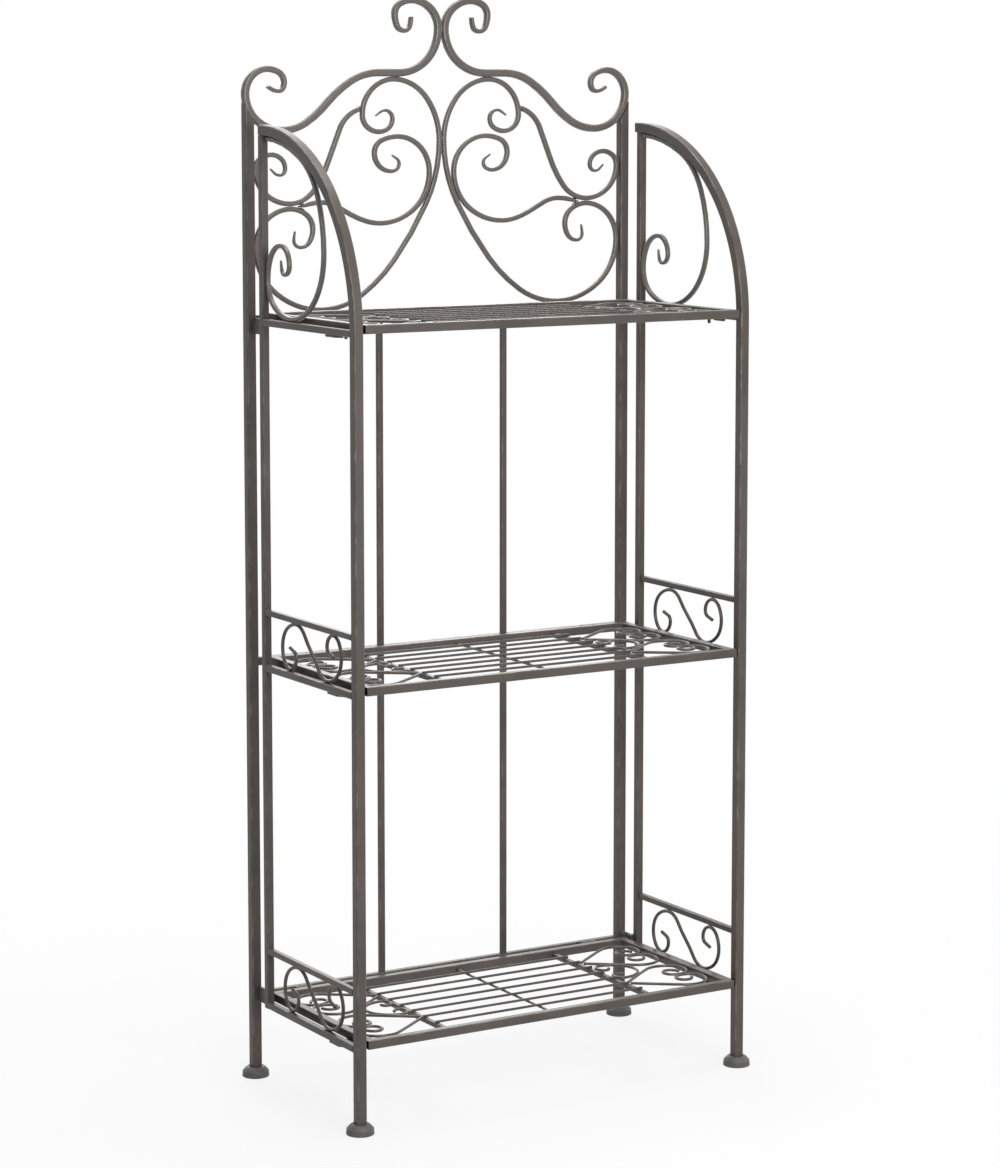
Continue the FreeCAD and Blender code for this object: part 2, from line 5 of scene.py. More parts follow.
import bpy
from mathutils import Euler, Matrix, Vector


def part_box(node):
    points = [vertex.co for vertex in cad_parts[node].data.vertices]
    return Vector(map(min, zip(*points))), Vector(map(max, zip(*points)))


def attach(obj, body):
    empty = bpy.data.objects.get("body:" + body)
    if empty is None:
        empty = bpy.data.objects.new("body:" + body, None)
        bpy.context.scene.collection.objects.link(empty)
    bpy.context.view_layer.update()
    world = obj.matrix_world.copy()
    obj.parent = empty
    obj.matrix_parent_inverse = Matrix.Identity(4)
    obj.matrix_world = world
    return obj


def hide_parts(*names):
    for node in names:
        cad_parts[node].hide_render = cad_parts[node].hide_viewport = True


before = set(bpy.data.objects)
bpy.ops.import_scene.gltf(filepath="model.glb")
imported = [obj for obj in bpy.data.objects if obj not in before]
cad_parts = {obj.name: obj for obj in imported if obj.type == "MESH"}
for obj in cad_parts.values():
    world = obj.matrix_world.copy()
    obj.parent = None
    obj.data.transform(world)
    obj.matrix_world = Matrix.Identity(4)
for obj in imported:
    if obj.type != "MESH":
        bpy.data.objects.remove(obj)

# Folding metal shelving unit: smooth bars, scrolls, hinges and welds over the CAD frame.
# All lengths are in metres. X runs along the width, the front faces -Y and Z is up.

bl_info = {
    "name": "Scrolled Folding Shelving Unit",
    "version": (1, 0, 0),
    "blender": (4, 5, 0),
    "location": "View3D > Sidebar > Shelving",
    "description": "Builds the looks of a folding shelving unit of scrolled metal bars",
    "category": "Object",
}

MM = 0.001
LEVELS = ("bottom", "middle", "top")
SIDES = (("left", -1), ("right", 1))
BACK = "back_frame"
STEEL = "coated_steel"
MOULDED = "foot_plastic"
X = Vector((1, 0, 0))
Y = Vector((0, 1, 0))
Z = Vector((0, 0, 1))
WHITE = (1, 1, 1)

# Rounding of the ends of bars
POST_END = 0.5 * MM
ARCH_END = 0.8 * MM
BAR_END = 0.3 * MM
RAIL_END = 0.4 * MM
SCROLL_END = 0.9 * MM
GALLERY_END = 0.8 * MM
PANEL_END = 0.7 * MM
WIRE_END = 0.6 * MM

# Most turn in one step along a curve, and steps and sides of round shapes
BAR_TURN_STEP = 0.11
ARCH_TURN_STEP = 0.03
PANEL_TURN_STEP = 0.16
CORNER_STEPS = 4
END_STEPS = 3
WIRE_SIDES = 14
PANEL_WIRE_SIDES = 12
ROD_SIDES = 24
FOOT_SIDES = 64

# Wear that the edge attribute gives to round wires, open rims and turned rims
WIRE_EDGE = 0.35
BORE_EDGE = 0.9
TURNED_EDGE = 0.8
TURNED_EDGE_LEANS = (20, 70)

# Saddles of the rear posts: their depth in the crest, and what picks its stretch over them
SADDLE_DEPTH = 0.5 * MM
SADDLE_FROM = 0.2
SADDLE_LEAST_CLIMB = 0.3
SADDLE_LEAST_RUN = 0.01

# Ends of scrolls: length over which they thin, and thickness share at their tips
UNDRAWN = (0, 1)
INNER_END = (14 * MM, 0.55)
DRAWN_TIP = 0.5
DRAWN_ARCH_TIP = 0.45

# Side frames: the arch's radius as a share of its reach
ARCH_RADIUS = 219 / 222

# Catch plates: thickness in the CAD and here, under one top face, and the tongue under each,
# with its lengths at the plate's outer edge and at the rail's
CATCH_SOLID = 3 * MM
CATCH_THICKNESS = 2.4 * MM
CATCH_CUT = 5 * MM
CATCH_BEVEL = 0.5 * MM
TONGUE_SETBACK = 1.0 * MM
TONGUE_LENGTHS = (23 * MM, 21 * MM)
TONGUE_THICKNESS = 2.6 * MM
TONGUE_BEVEL = 0.6 * MM

# Foot caps: rows of height, distance inside the widest radius, and lean in degrees, and the
# hole for the post
FOOT_PROFILE = (
    (0.0, 0.8 * MM, -90), (0.15 * MM, 0.4 * MM, -60), (0.5 * MM, 0.08 * MM, -25),
    (1.2 * MM, 0.0, 0), (6.4 * MM, 0.5 * MM, 6), (7.1 * MM, 0.8 * MM, 32),
    (7.6 * MM, 1.4 * MM, 50), (7.95 * MM, 1.9 * MM, 52), (8.8 * MM, 2.5 * MM, 38),
    (9.9 * MM, 3.4 * MM, 48), (10.9 * MM, 4.6 * MM, 58),
)
FOOT_TOP_INSET = 6.2 * MM
FOOT_TOP_LEAN = 72
FOOT_HOLE_HALF = 6.35 * MM
FOOT_HOLE_CORNER = 0.3 * MM
FOOT_HOLE_DEPTH = 2.2 * MM

# Hinges of the side frames and of the shelves, with a leaf's width and thickness
BARREL = 8 * MM
BARREL_END = 0.5 * MM
BARREL_PLAY = 0.1 * MM
HINGE_PIN = 4 * MM
HINGE_GAP = 0.3 * MM
HINGE_LEAF_BEVEL = 0.25 * MM
SIDE_HINGE_HEIGHT = 18 * MM
SIDE_HINGE_SEAT = 0.02 * MM
SIDE_PLATE = 3 * MM
SIDE_PLATE_CHAMFER = 5 * MM
SIDE_PLATE_BEVEL = 0.3 * MM
SIDE_PIN_RECESS = 1 * MM
SIDE_PIN_END = 0.6 * MM
SIDE_LEAF = (6 * MM, 1.8 * MM)
SHELF_HINGE_WIDTH = 20 * MM
SHELF_LUG = 3 * MM
SHELF_LUG_BEVEL = 0.35 * MM
SHELF_PIN_END = 0.4 * MM
SHELF_LEAF = 3 * MM

# Shelves: open ends of the long rails, wires, and sizes in the end panels as shares of
# the depth between the rails and of the length from the cross bar to the outer rail
RAIL_WALL = 1.1 * MM
RAIL_BORE = 14 * MM
SHELF_WIRE = 3 * MM
WIRE_COUNT = 7
PANEL_GAP = 0.1 * MM
PANEL_HEART_WIDTH = 0.425
PANEL_HEART_SPACING = 0.4727
PANEL_CLASP_WIDTH = 0.2873
PANEL_CLASP_LENGTH = 0.458
LOCK_PIN_END = 0.8 * MM

# Weld beads: length as a share of the bar, or of the weld size beside a scroll, and width as
# a share of the weld size; then how deep they sit in a face, and their form
WELDS = {
    "scroll": (4, 1), "mirror_line": (5, 1), "back_bar": (0.9, 1), "side_rail": (0.8, 0.9),
    "stile": (0.8, 1), "gallery": (2.6, 1.1), "arch_side": (3.4, 1.3), "arch_top": (3, 1.2),
    "shelf_corner": (0.75, 0.7), "wire": (0.8, 1.6),
}
WELD_SINK = 0.35 * MM
WELD_STEPS = 8
WELD_SIDES = 10
WELD_SWELL = 0.16
WELD_FLATNESS = 0.62
WELD_LEAST_RADIUS = 0.03

# Coats: darkness, roughness, wear of the edges, redness and gloss. Darkness scales the coat colours.
# The scroll coat's factor above 1 and its low redness are painted light: a lighter, more neutral
# copy of the one powder coat, where the scrolls face the front lamp
COATS = {
    "post_coat": (0.95, 0.36, 0.55, 0.5, 0.24),
    "scroll_coat": (1.22, 0.3, 0.35, 0.15, 0.5),
    "wire_coat": (0.74, 0.28, 0.4, 0.4, 0.4),
    "pin_coat": (0.35, 0.4, 0.5, 0.3, 0.3),
}

# Lamps: name, place, height that they are aimed at over the middle, and size
LAMPS = (
    ("key", (-0.25, -2.15, 1.3), 0.6, 1.3), ("fill", (2.6, -0.4, 1.5), 0.6, 2.0),
    ("top", (0.1, 0.1, 3.3), 0.5, 1.8), ("back", (0.5, 2.3, 1.9), 0.7, 2.4),
)
FLOOR_RADIUS = 9
FLOOR_SIDES = 48

# Scroll outlines: places of the centre line as shares of its box, each with the heading
# of the bar in degrees. Two tangent arcs join each place to the next.
CREST = (
    (0.145, 0.871, 270), (0.183, 0.762, 0), (0.231, 0.891, 90), (0.140, 1.000, 180),
    (0.000, 0.782, 270), (0.211, 0.439, 0), (0.324, 0.439, 0), (0.590, 0.205, -47),
    (0.823, 0.000, 0), (1.004, 0.277, 90), (0.895, 0.465, 180), (0.807, 0.363, 270),
    (0.837, 0.297, 0), (0.891, 0.333, 40),
)
HEART = (
    (0.354, 0.840, 145), (0.300, 0.864, 180), (0.260, 0.827, 270), (0.337, 0.771, 0),
    (0.425, 0.845, 90), (0.254, 1.000, 180), (0.000, 0.732, 270), (0.254, 0.207, -51),
    (0.650, 0.000, 0), (1.000, 0.277, 90), (0.817, 0.441, 180), (0.696, 0.352, 270),
    (0.763, 0.274, 0), (0.798, 0.304, 90), (0.792, 0.345, 97),
)
INNER = (
    (0.264, 0.669, 218), (0.224, 0.631, 270), (0.270, 0.598, 0), (0.360, 0.678, 90),
    (0.233, 0.750, 180), (0.056, 0.594, 270), (0.329, 0.371, 0), (0.483, 0.408, 26),
    (0.650, 0.467, 0), (0.715, 0.461, -12), (0.757, 0.452, -8),
)
OUTER = (
    (0.441, 0.870, -15), (0.604, 0.659, -70), (0.821, 0.464, 0), (1.000, 0.613, 90),
    (0.917, 0.676, 180), (0.842, 0.616, 270), (0.871, 0.587, 0), (0.922, 0.616, 45),
)
ARCH_SCROLL = (
    (1.000, 1.000, 182), (0.418, 0.904, 205), (0.000, 0.385, 270), (0.577, 0.000, 0),
    (1.000, 0.207, 90), (0.760, 0.405, 180), (0.608, 0.299, 270), (0.692, 0.243, 0),
    (0.760, 0.324, 85),
)
GALLERY_SCROLL = (
    (0.500, 0.500, 40), (0.756, 1.000, 0), (1.000, 0.435, -90), (0.871, 0.000, -180),
    (0.763, 0.280, 90), (0.871, 0.467, 20),
)
PANEL_HEART = (
    (0.000, 0.945, -40), (0.442, 0.267, -39), (0.719, 0.000, 0), (1.000, 0.556, 90),
    (0.804, 0.958, 180), (0.639, 0.689, 270), (0.740, 0.478, 0), (0.862, 0.711, 80),
)
PANEL_CLASP = (
    (1.000, 0.000, 90), (0.230, 1.000, 180), (0.000, 0.640, 270), (0.190, 0.330, 0),
    (0.350, 0.560, 90),
)


# Settings that a user would change

def length_setting(name, description, default, low, high):
    return bpy.props.FloatProperty(name=name, description=description, default=default,
                                   min=low, max=high, unit="LENGTH")


def share_setting(name, description, default, low, high):
    return bpy.props.FloatProperty(name=name, description=description, default=default,
                                   min=low, max=high, subtype="FACTOR")


def angle_setting(name, description, default):
    return bpy.props.FloatProperty(name=name, description=description, default=default,
                                   subtype="ANGLE", unit="ROTATION")


def power_setting(name, description, default):
    return bpy.props.FloatProperty(name=name, description=description, default=default,
                                   min=0, max=1000, unit="POWER")


def colour_setting(name, description, default):
    return bpy.props.FloatVectorProperty(name=name, description=description, default=default,
                                         size=3, min=0, max=1, subtype="COLOR")


class ShelvingSizes(bpy.types.PropertyGroup):
    """Sizes of the rounding, tapering and welding of the bars."""
    post_rounding: length_setting(
        "Post Rounding", "Corner radius of the post tube", 2.0 * MM, 0.2 * MM, 5 * MM)
    bar_rounding: length_setting(
        "Bar Rounding", "Corner radius of the rails, stiles and back bars",
        1.3 * MM, 0.2 * MM, 3 * MM)
    scroll_rounding: share_setting(
        "Scroll Rounding", "Corner radius of a scroll as a share of its bar", 0.32, 0.02, 0.49)
    crest_tip: share_setting(
        "Crest Tip", "Thickness of the crest's tips as a share of its bar", 0.42, 0.1, 1)
    crest_taper: length_setting(
        "Crest Taper", "Length over which the crest thins to its tips", 115 * MM, 1 * MM, 0.3)
    curl_tip: share_setting(
        "Curl Tip", "Thickness of the other curls' tips as a share of the bar", 0.34, 0.1, 1)
    curl_taper: length_setting(
        "Curl Taper", "Length over which the other curls thin to their tips",
        62 * MM, 1 * MM, 0.2)
    tip_draw: length_setting(
        "Tip Draw", "Length over which a curl's tip is also drawn out sideways",
        34 * MM, 1 * MM, 0.2)
    weld_size: length_setting(
        "Weld Size", "Thickness of a weld bead", 1.9 * MM, 0.5 * MM, 4 * MM)


class ShelvingColours(bpy.types.PropertyGroup):
    """Colours of the coat, the moulded feet and the floor."""
    coat: colour_setting("Coat", "Brown-grey of the powder coat", (0.104, 0.092, 0.083))
    coat_dark: colour_setting(
        "Dark Coat", "Darker clouds in the powder coat", (0.070, 0.060, 0.052))
    coat_warm: colour_setting(
        "Warm Coat", "Redder clouds in the powder coat", (0.102, 0.078, 0.070))
    rubbed: colour_setting(
        "Rubbed Edge", "Paler coat where the edges are rubbed", (0.23, 0.212, 0.192))
    moulded: colour_setting("Moulded Foot", "Grey of the moulded feet", (0.088, 0.081, 0.074))
    floor: colour_setting("Floor", "Colour of the floor", (0.72, 0.72, 0.72))


class ShelvingView(bpy.types.PropertyGroup):
    """Camera and light of the stage."""
    camera_place: bpy.props.FloatVectorProperty(
        name="Camera Place", description="Where the camera stands", size=3,
        default=(-1.9772, -3.2918, 1.1604), subtype="TRANSLATION", unit="LENGTH")
    camera_turn: angle_setting(
        "Camera Turn", "How far the camera looks to the right of straight on",
        math.radians(31.036))
    camera_dip: angle_setting("Camera Dip", "How far the camera looks down", math.radians(6.5))
    camera_shift: share_setting(
        "Camera Shift", "Shift of the picture that lets the camera dip less", -0.1, -1, 1)
    camera_lens: bpy.props.FloatProperty(
        name="Lens", description="Focal length for a sensor 36 mm high",
        default=102.08, min=10, max=400, unit="CAMERA")
    key_power: power_setting("Key Light", "Power of the soft light in front", 43)
    top_power: power_setting("Top Light", "Power of the soft light above the unit", 66)
    fill_power: power_setting("Fill Light", "Power of the soft light on the right", 16)
    back_power: power_setting("Back Light", "Power of the large soft light behind the unit", 50)
    room_light: share_setting(
        "Room Light", "Strength of the light from all round", 0.12, 0, 2)
    floor_reach: length_setting(
        "Shadow Reach", "Distance from the unit at which the floor turns white", 1.6, 0.3, 10)


def sizes():
    return bpy.context.scene.shelving_sizes


def colours():
    return bpy.context.scene.shelving_colours


# Materials: a socket that takes part in sums, and a node tree that adds its nodes

class Value:
    """Socket of a node tree that works in plain sums."""

    def __init__(self, nodes, socket):
        self.nodes = nodes
        self.socket = socket

    def math(self, operation, *terms):
        settings = {"operation": operation}
        return self.nodes.node("ShaderNodeMath", settings, dict(enumerate(terms)))

    def __add__(self, other):
        return self.math("ADD", self, other)

    def __sub__(self, other):
        return self.math("SUBTRACT", self, other)

    def __rsub__(self, other):
        return self.math("SUBTRACT", other, self)

    def __mul__(self, other):
        return self.math("MULTIPLY", self, other)

    __radd__ = __add__
    __rmul__ = __mul__


class Nodes:
    """Node tree of a material or of the world, to which one method adds the nodes."""

    def __init__(self, owner):
        self.owner = owner
        owner.use_nodes = True
        self.tree = owner.node_tree
        self.tree.nodes.clear()

    def node(self, kind, settings=None, sockets=None, output=0):
        """Adds a node, sets it, fills its sockets and gives one of its outputs."""
        made = self.tree.nodes.new(kind)
        for name, setting in (settings or {}).items():
            setattr(made, name, setting)
        for name, given in (sockets or {}).items():
            socket = made.inputs[name]
            if isinstance(given, Value):
                self.tree.links.new(given.socket, socket)
            elif socket.type == "RGBA":
                socket.default_value = (*given, 1)
            else:
                socket.default_value = given
        return Value(self, made.outputs[output]) if made.outputs else None

    def noise(self, scale, detail, roughness=0.5, stretch=None):
        """Noise in the object's own space, with its scale in blotches per metre."""
        place = self.node("ShaderNodeTexCoord", output="Object")
        if stretch:
            place = self.node("ShaderNodeVectorMath", {"operation": "MULTIPLY"},
                              {0: place, 1: stretch})
        return self.node("ShaderNodeTexNoise", None,
                         {"Vector": place, "Scale": scale, "Detail": detail, "Roughness": roughness})

    def between(self, value, low, high):
        """Value stretched so that low gives 0 and high gives 1."""
        return self.node("ShaderNodeMapRange", {"clamp": True},
                         {"Value": value, "From Min": low, "From Max": high})

    def patches(self, low, high, *noise):
        """Noise stretched so that it leaves patches."""
        return self.between(self.noise(*noise), low, high)

    def mixed(self, share, first, second):
        """Colour between two colours."""
        return self.node("ShaderNodeMix", {"data_type": "RGBA"},
                         {0: share, 6: first, 7: second}, output=2)

    def seen(self):
        """1 for what the camera sees, straight or in metal or glass, and 0 for other rays."""
        rays = [self.node("ShaderNodeLightPath", output=name) for name in
                ("Is Camera Ray", "Is Glossy Ray", "Is Transmission Ray")]
        return self.node("ShaderNodeMath", {"operation": "MINIMUM"},
                         {0: rays[0] + rays[1] + rays[2], 1: 1.0})

    def bump(self, height, distance, strength):
        return self.node("ShaderNodeBump", None,
                         {"Height": height, "Distance": distance, "Strength": strength})

    def surface(self, sockets):
        """Ends a material with one shader, and gives the material."""
        shader = self.node("ShaderNodeBsdfPrincipled", None, sockets)
        self.node("ShaderNodeOutputMaterial", None, {"Surface": shader})
        return self.owner


def new_finish(name):
    return Nodes(bpy.data.materials.new(name))


def shaded(colour, share):
    return tuple(part * share for part in colour)


def coated_finish(name, darkness, roughness, wear, redness, gloss):
    """Brown-grey powder coat with clouds, fine grain, rubbed edges and a soft bump."""
    finish = new_finish(name)
    shades = colours()
    clouds = finish.patches(0.34, 0.68, 14, 4, 0.6)
    warmth = finish.patches(0.46, 0.66, 7, 3, 0.55)
    flecks = finish.patches(0.66, 0.74, 3100, 1)
    grain = finish.noise(1300, 2, 0.6)
    peel = finish.noise(620, 3, 0.55)
    edge = finish.node("ShaderNodeAttribute", {"attribute_name": "edge"}, output="Fac")
    rubbed = edge * finish.patches(0.47, 0.66, 46, 3, 0.55) * wear
    # Darkness scales every coat colour; for the scroll coat it is above 1, painted light that makes
    # a lighter copy of the coat
    colour = finish.mixed(clouds * 0.8 + grain * 0.2, shaded(shades.coat_dark, darkness),
                          shaded(shades.coat, darkness))
    colour = finish.mixed(warmth * redness, colour, shaded(shades.coat_warm, darkness))
    colour = finish.mixed(flecks * 0.16, colour, shades.rubbed)
    colour = finish.mixed(rubbed, colour, shades.rubbed)
    return finish.surface({
        "Base Color": colour,
        "Roughness": clouds * -0.07 + grain * 0.1 + (roughness - 0.02),
        "Metallic": rubbed * 0.35 + 0.08,
        "Specular IOR Level": gloss,
        "Normal": finish.bump(peel * 0.7 + grain * 0.3, 0.00012, 0.22)})


def weld_finish():
    """Weld bead under the coat: darker, rougher and rippled."""
    finish = new_finish("coated_weld")
    shades = colours()
    ripple = finish.noise(900, 3, 0.6)
    colour = finish.mixed(finish.between(ripple, 0.35, 0.65), shaded(shades.coat_dark, 0.7),
                          shades.coat)
    return finish.surface({
        "Base Color": colour, "Roughness": ripple * 0.2 + 0.42, "Metallic": ripple * 0.1 + 0.2,
        "Normal": finish.bump(ripple, 0.0003, 0.8)})


def moulded_finish():
    """Moulded plastic of the feet: fine spark-eroded grain, scuffed near the floor."""
    finish = new_finish("moulded_foot")
    shade = colours().moulded
    grain = finish.noise(1700, 3, 0.6)
    place = finish.node("ShaderNodeTexCoord", output="Object")
    height = finish.node("ShaderNodeSeparateXYZ", None, {0: place}, output=2)
    low = 1 - finish.between(height, 0.0, 0.004)
    scuffs = finish.patches(0.5, 0.68, 240, 4, 0.65, (1, 1, 3)) * (low * 0.7 + 0.12)
    clouds = finish.patches(0.35, 0.7, 60, 3, 0.6)
    colour = finish.mixed(clouds, shaded(shade, 0.8), shade)
    colour = finish.mixed(scuffs * 0.45, colour, (0.24, 0.228, 0.212))
    return finish.surface({
        "Base Color": colour, "Roughness": grain * 0.12 + scuffs * 0.15 + 0.46,
        "Normal": finish.bump(grain, 0.00008, 0.6)})


def pin_finish():
    """Bare hinge pin with turned rings, polished by its knuckle."""
    finish = new_finish("worn_pin")
    rings = finish.noise(900, 2, 0.5, (0.05, 0.05, 2.2))
    clouds = finish.patches(0.4, 0.65, 160, 3, 0.6)
    colour = finish.mixed(clouds, (0.16, 0.145, 0.13), (0.34, 0.32, 0.3))
    return finish.surface({
        "Base Color": colour, "Roughness": rings * 0.15 + 0.28, "Metallic": clouds * 0.3 + 0.6,
        "Normal": finish.bump(rings, 0.00005, 0.5)})


FINISHES = {}
MAKERS = {"weld": weld_finish, "moulded": moulded_finish, "pin": pin_finish}


def finish_named(name):
    """Material made the first time that it is asked for."""
    if name not in FINISHES:
        coat = COATS.get(name)
        FINISHES[name] = coated_finish(name, *coat) if coat else MAKERS[name]()
    return FINISHES[name]


# Tangent arcs in a plane, with its points held as complex numbers

def dot(one, other):
    return (one.conjugate() * other).real


def heading_after(start, heading, end):
    """Heading at the end of the arc that leaves start with the given heading."""
    return ((end - start) / abs(end - start)) ** 2 / heading


def biarc_knot(start, heading, end, end_heading):
    """Point where the two tangent arcs between two headed points meet."""
    chord = end - start
    along = dot(chord, heading + end_heading)
    spread = 2 * (1 - dot(heading, end_heading))
    if spread < 1e-12:
        reach = dot(chord, chord) / (2 * along)
    else:
        reach = (math.sqrt(along ** 2 + spread * dot(chord, chord)) - along) / spread
    return (start + end + reach * (heading - end_heading)) / 2


def scroll_arcs(rows, corner, far_corner):
    """Arcs of a scroll in its box, each as start, heading and end."""
    span = far_corner - corner
    places = []
    for across_share, up_share, degrees in rows:
        place = corner + complex(across_share * span.real, up_share * span.imag)
        places.append((place, cmath.rect(1, math.radians(degrees))))
    arcs = []
    for (start, heading), (end, end_heading) in zip(places, places[1:]):
        knot = biarc_knot(start, heading, end, end_heading)
        arcs.append((start, heading, knot))
        arcs.append((knot, heading_after(start, heading, knot), end))
    return arcs


def smooth_line(arcs, turn_step=BAR_TURN_STEP):
    """Places and headings close together along arcs."""
    line = [arcs[0][:2]]
    for start, heading, end in arcs:
        turn = 2 * cmath.phase((end - start) / heading)
        steps = max(1, math.ceil(abs(turn) / turn_step))
        for step in range(1, steps + 1):
            share = step / steps
            if abs(turn) > 1e-6:
                centre = start + (end - start) / (1 - cmath.rect(1, turn))
                point = centre + (start - centre) * cmath.rect(1, turn * share)
            else:
                point = start + share * (end - start)
            line.append((point, heading * cmath.rect(1, turn * share)))
    return line


def taper(line, *ends):
    """Thickness share at each place of a line whose two ends thin over a length to a tip."""
    run = [0.0]
    for (one, _), (other, _) in zip(line, line[1:]):
        run.append(run[-1] + abs(other - one))
    shares = []
    for place in run:
        share = 1.0
        for away, (length, tip) in zip((place, run[-1] - place), ends):
            if away < length:
                share *= tip + (1 - tip) * math.sin(math.pi / 2 * away / length)
        shares.append(share)
    return shares


# Sections of bars: rows of across, upright, their outward direction, and edge share

def rounded_section(radius, across_size, upright_size=None):
    """Rectangle with rounded corners, a square where one size is given."""
    a = across_size / 2 - radius
    b = (upright_size or across_size) / 2 - radius
    rows = []
    for number, (p, q) in enumerate(((a, b), (-a, b), (-a, -b), (a, -b))):
        for step in range(CORNER_STEPS + 1):
            share = step / CORNER_STEPS
            turn = math.pi / 2 * (number + share)
            c, s = math.cos(turn), math.sin(turn)
            rows.append((p + radius * c, q + radius * s, c, s, math.sin(math.pi * share)))
    return rows


def circle(sides):
    return [2 * math.pi * number / sides for number in range(sides)]


def round_section(diameter, sides=WIRE_SIDES):
    rows = []
    for turn in circle(sides):
        c, s = math.cos(turn), math.sin(turn)
        rows.append((diameter / 2 * c, diameter / 2 * s, c, s, WIRE_EDGE))
    return rows


def at(x, y, z):
    return Vector((x, y, z))


class Piece:
    """Faces of one visible piece, gathered before its mesh is made."""

    def __init__(self, wobble=None):
        self.wobble = wobble
        self.points = []
        self.normals = []
        self.edges = []
        self.faces = []

    def ring(self, rows):
        """Adds rows of point, outward direction and edge share, and gives their numbers."""
        first = len(self.points)
        for point, normal, edge in rows:
            self.points.append(point)
            self.normals.append(normal)
            self.edges.append(edge)
        return list(range(first, len(self.points)))

    def bridge(self, *rings):
        """Faces between each ring and the next."""
        for lower, upper in zip(rings, rings[1:]):
            for number in range(len(lower)):
                after = number + 1 - len(lower)
                self.faces.append((lower[number], lower[after], upper[after], upper[number]))

    def close(self, ring, normal, start):
        """Flat end on a ring, with its own corners so that it stays flat."""
        fresh = self.ring([(self.points[n], normal, self.edges[n]) for n in ring])
        self.faces.append(tuple(fresh[::-1] if start else fresh))

    def sweep(self, stations, section, rounding, lift=None):
        """Bar along stations of place, tangent, across and its two thickness shares, rounded
        at its ends. Lift gives the height that the far end gains at each place along X."""
        rings = []
        last = len(stations) - 1
        quarter = [math.pi / 2 * step / END_STEPS for step in range(END_STEPS + 1)]
        for number, (place, tangent, across, share, deep_share) in enumerate(stations):
            upright = tangent.cross(across)
            outward = -tangent if number == 0 else tangent
            for turn in {0: quarter[::-1], last: quarter}.get(number, [0.0]):
                inset = rounding * (1 - math.cos(turn))
                push = rounding * math.sin(turn) - rounding if number in (0, last) else 0.0
                rows = []
                for a, b, c, s, edge in section:
                    point = (place + across * (a * share - c * inset)
                             + upright * (b * deep_share - s * inset) + outward * push)
                    normal = (across * c + upright * s) * math.cos(turn) + outward * math.sin(turn)
                    if lift and number == last:
                        slope = (lift(point.x + MM) - lift(point.x - MM)) / (2 * MM)
                        point = point + Z * lift(point.x)
                        normal = at(normal.x - slope * normal.z, normal.y, normal.z)
                    rows.append((point, normal.normalized(), max(edge, math.sin(2 * turn))))
                rings.append(self.ring(rows))
        self.bridge(*rings)
        self.close(rings[0], -stations[0][1], True)
        self.close(rings[-1], stations[-1][1], False)

    def bar(self, start, end, across, section, rounding, lift=None):
        """Straight bar between two places."""
        tangent = (end - start).normalized()
        self.sweep([(place, tangent, across, 1.0, 1.0) for place in (start, end)],
                   section, rounding, lift)

    def tube(self, start, end, across, section):
        """Rail whose two ends are open, as deep as the light reaches."""
        tangent = (end - start).normalized()
        upright = tangent.cross(across)
        self.bar(start, end, across, section, RAIL_END)
        del self.faces[-2:]
        reach = max(row[0] for row in section)
        rim = 1 - RAIL_END / reach
        bore = 1 - RAIL_WALL / reach
        for place, outward, first in ((start, -tangent, True), (end, tangent, False)):
            rings = []
            for share, depth, facing in ((rim, 0, True), (bore, 0, True),
                                         (bore, 0, False), (bore, RAIL_BORE, False)):
                rows = []
                for a, b, c, s, _ in section:
                    point = place + (across * a + upright * b) * share - outward * depth
                    inward = -(across * c + upright * s)
                    rows.append((point, outward, BORE_EDGE) if facing else (point, inward, 0.0))
                rings.append(self.ring(rows))
            for pair in (rings[:2], rings[2:]):
                self.bridge(*[ring[::-1] if first else ring for ring in pair])
            self.close(rings[3], outward, first)

    def scroll(self, line, place, normal, section, rounding, shares=None, deep_shares=None):
        """Bar along a line in a plane; normal is the plane's own direction."""
        full = [1.0] * len(line)
        stations = []
        for (point, heading), share, deep in zip(line, shares or full, deep_shares or full):
            here = place(point)
            tangent = (place(point + heading * MM) - here).normalized()
            stations.append((here, tangent, normal.cross(tangent), share, deep))
        self.sweep(stations, section, rounding)

    def turned(self, foot, axis, profile, sides, end_flat=True):
        """Turned shape: profile rows of distance along the axis, radius and slope in degrees."""
        side = axis.orthogonal().normalized()
        other = axis.cross(side)
        rings = []
        for along, radius, degrees in profile:
            lean = math.radians(degrees)
            flattest, steepest = TURNED_EDGE_LEANS
            edge = TURNED_EDGE if flattest < abs(degrees) < steepest else 0.0
            rows = []
            for turn in circle(sides):
                flat = side * math.cos(turn) + other * math.sin(turn)
                rows.append((foot + axis * along + flat * radius,
                             flat * math.cos(lean) + axis * math.sin(lean), edge))
            rings.append(self.ring(rows))
        self.bridge(*rings)
        self.close(rings[0], -axis, True)
        if end_flat:
            self.close(rings[-1], axis, False)

    def rod(self, start, end, diameter, rounding):
        """Turned rod with rounded rims."""
        far = (end - start).length - rounding
        profile = []
        for middle, turns in ((rounding, (-90, -60, -30, 0)), (far, (0, 30, 60, 90))):
            for degrees in turns:
                lean = math.radians(degrees)
                profile.append((middle + rounding * math.sin(lean),
                                diameter / 2 - rounding * (1 - math.cos(lean)), degrees))
        self.turned(start, (end - start).normalized(), profile, ROD_SIDES)

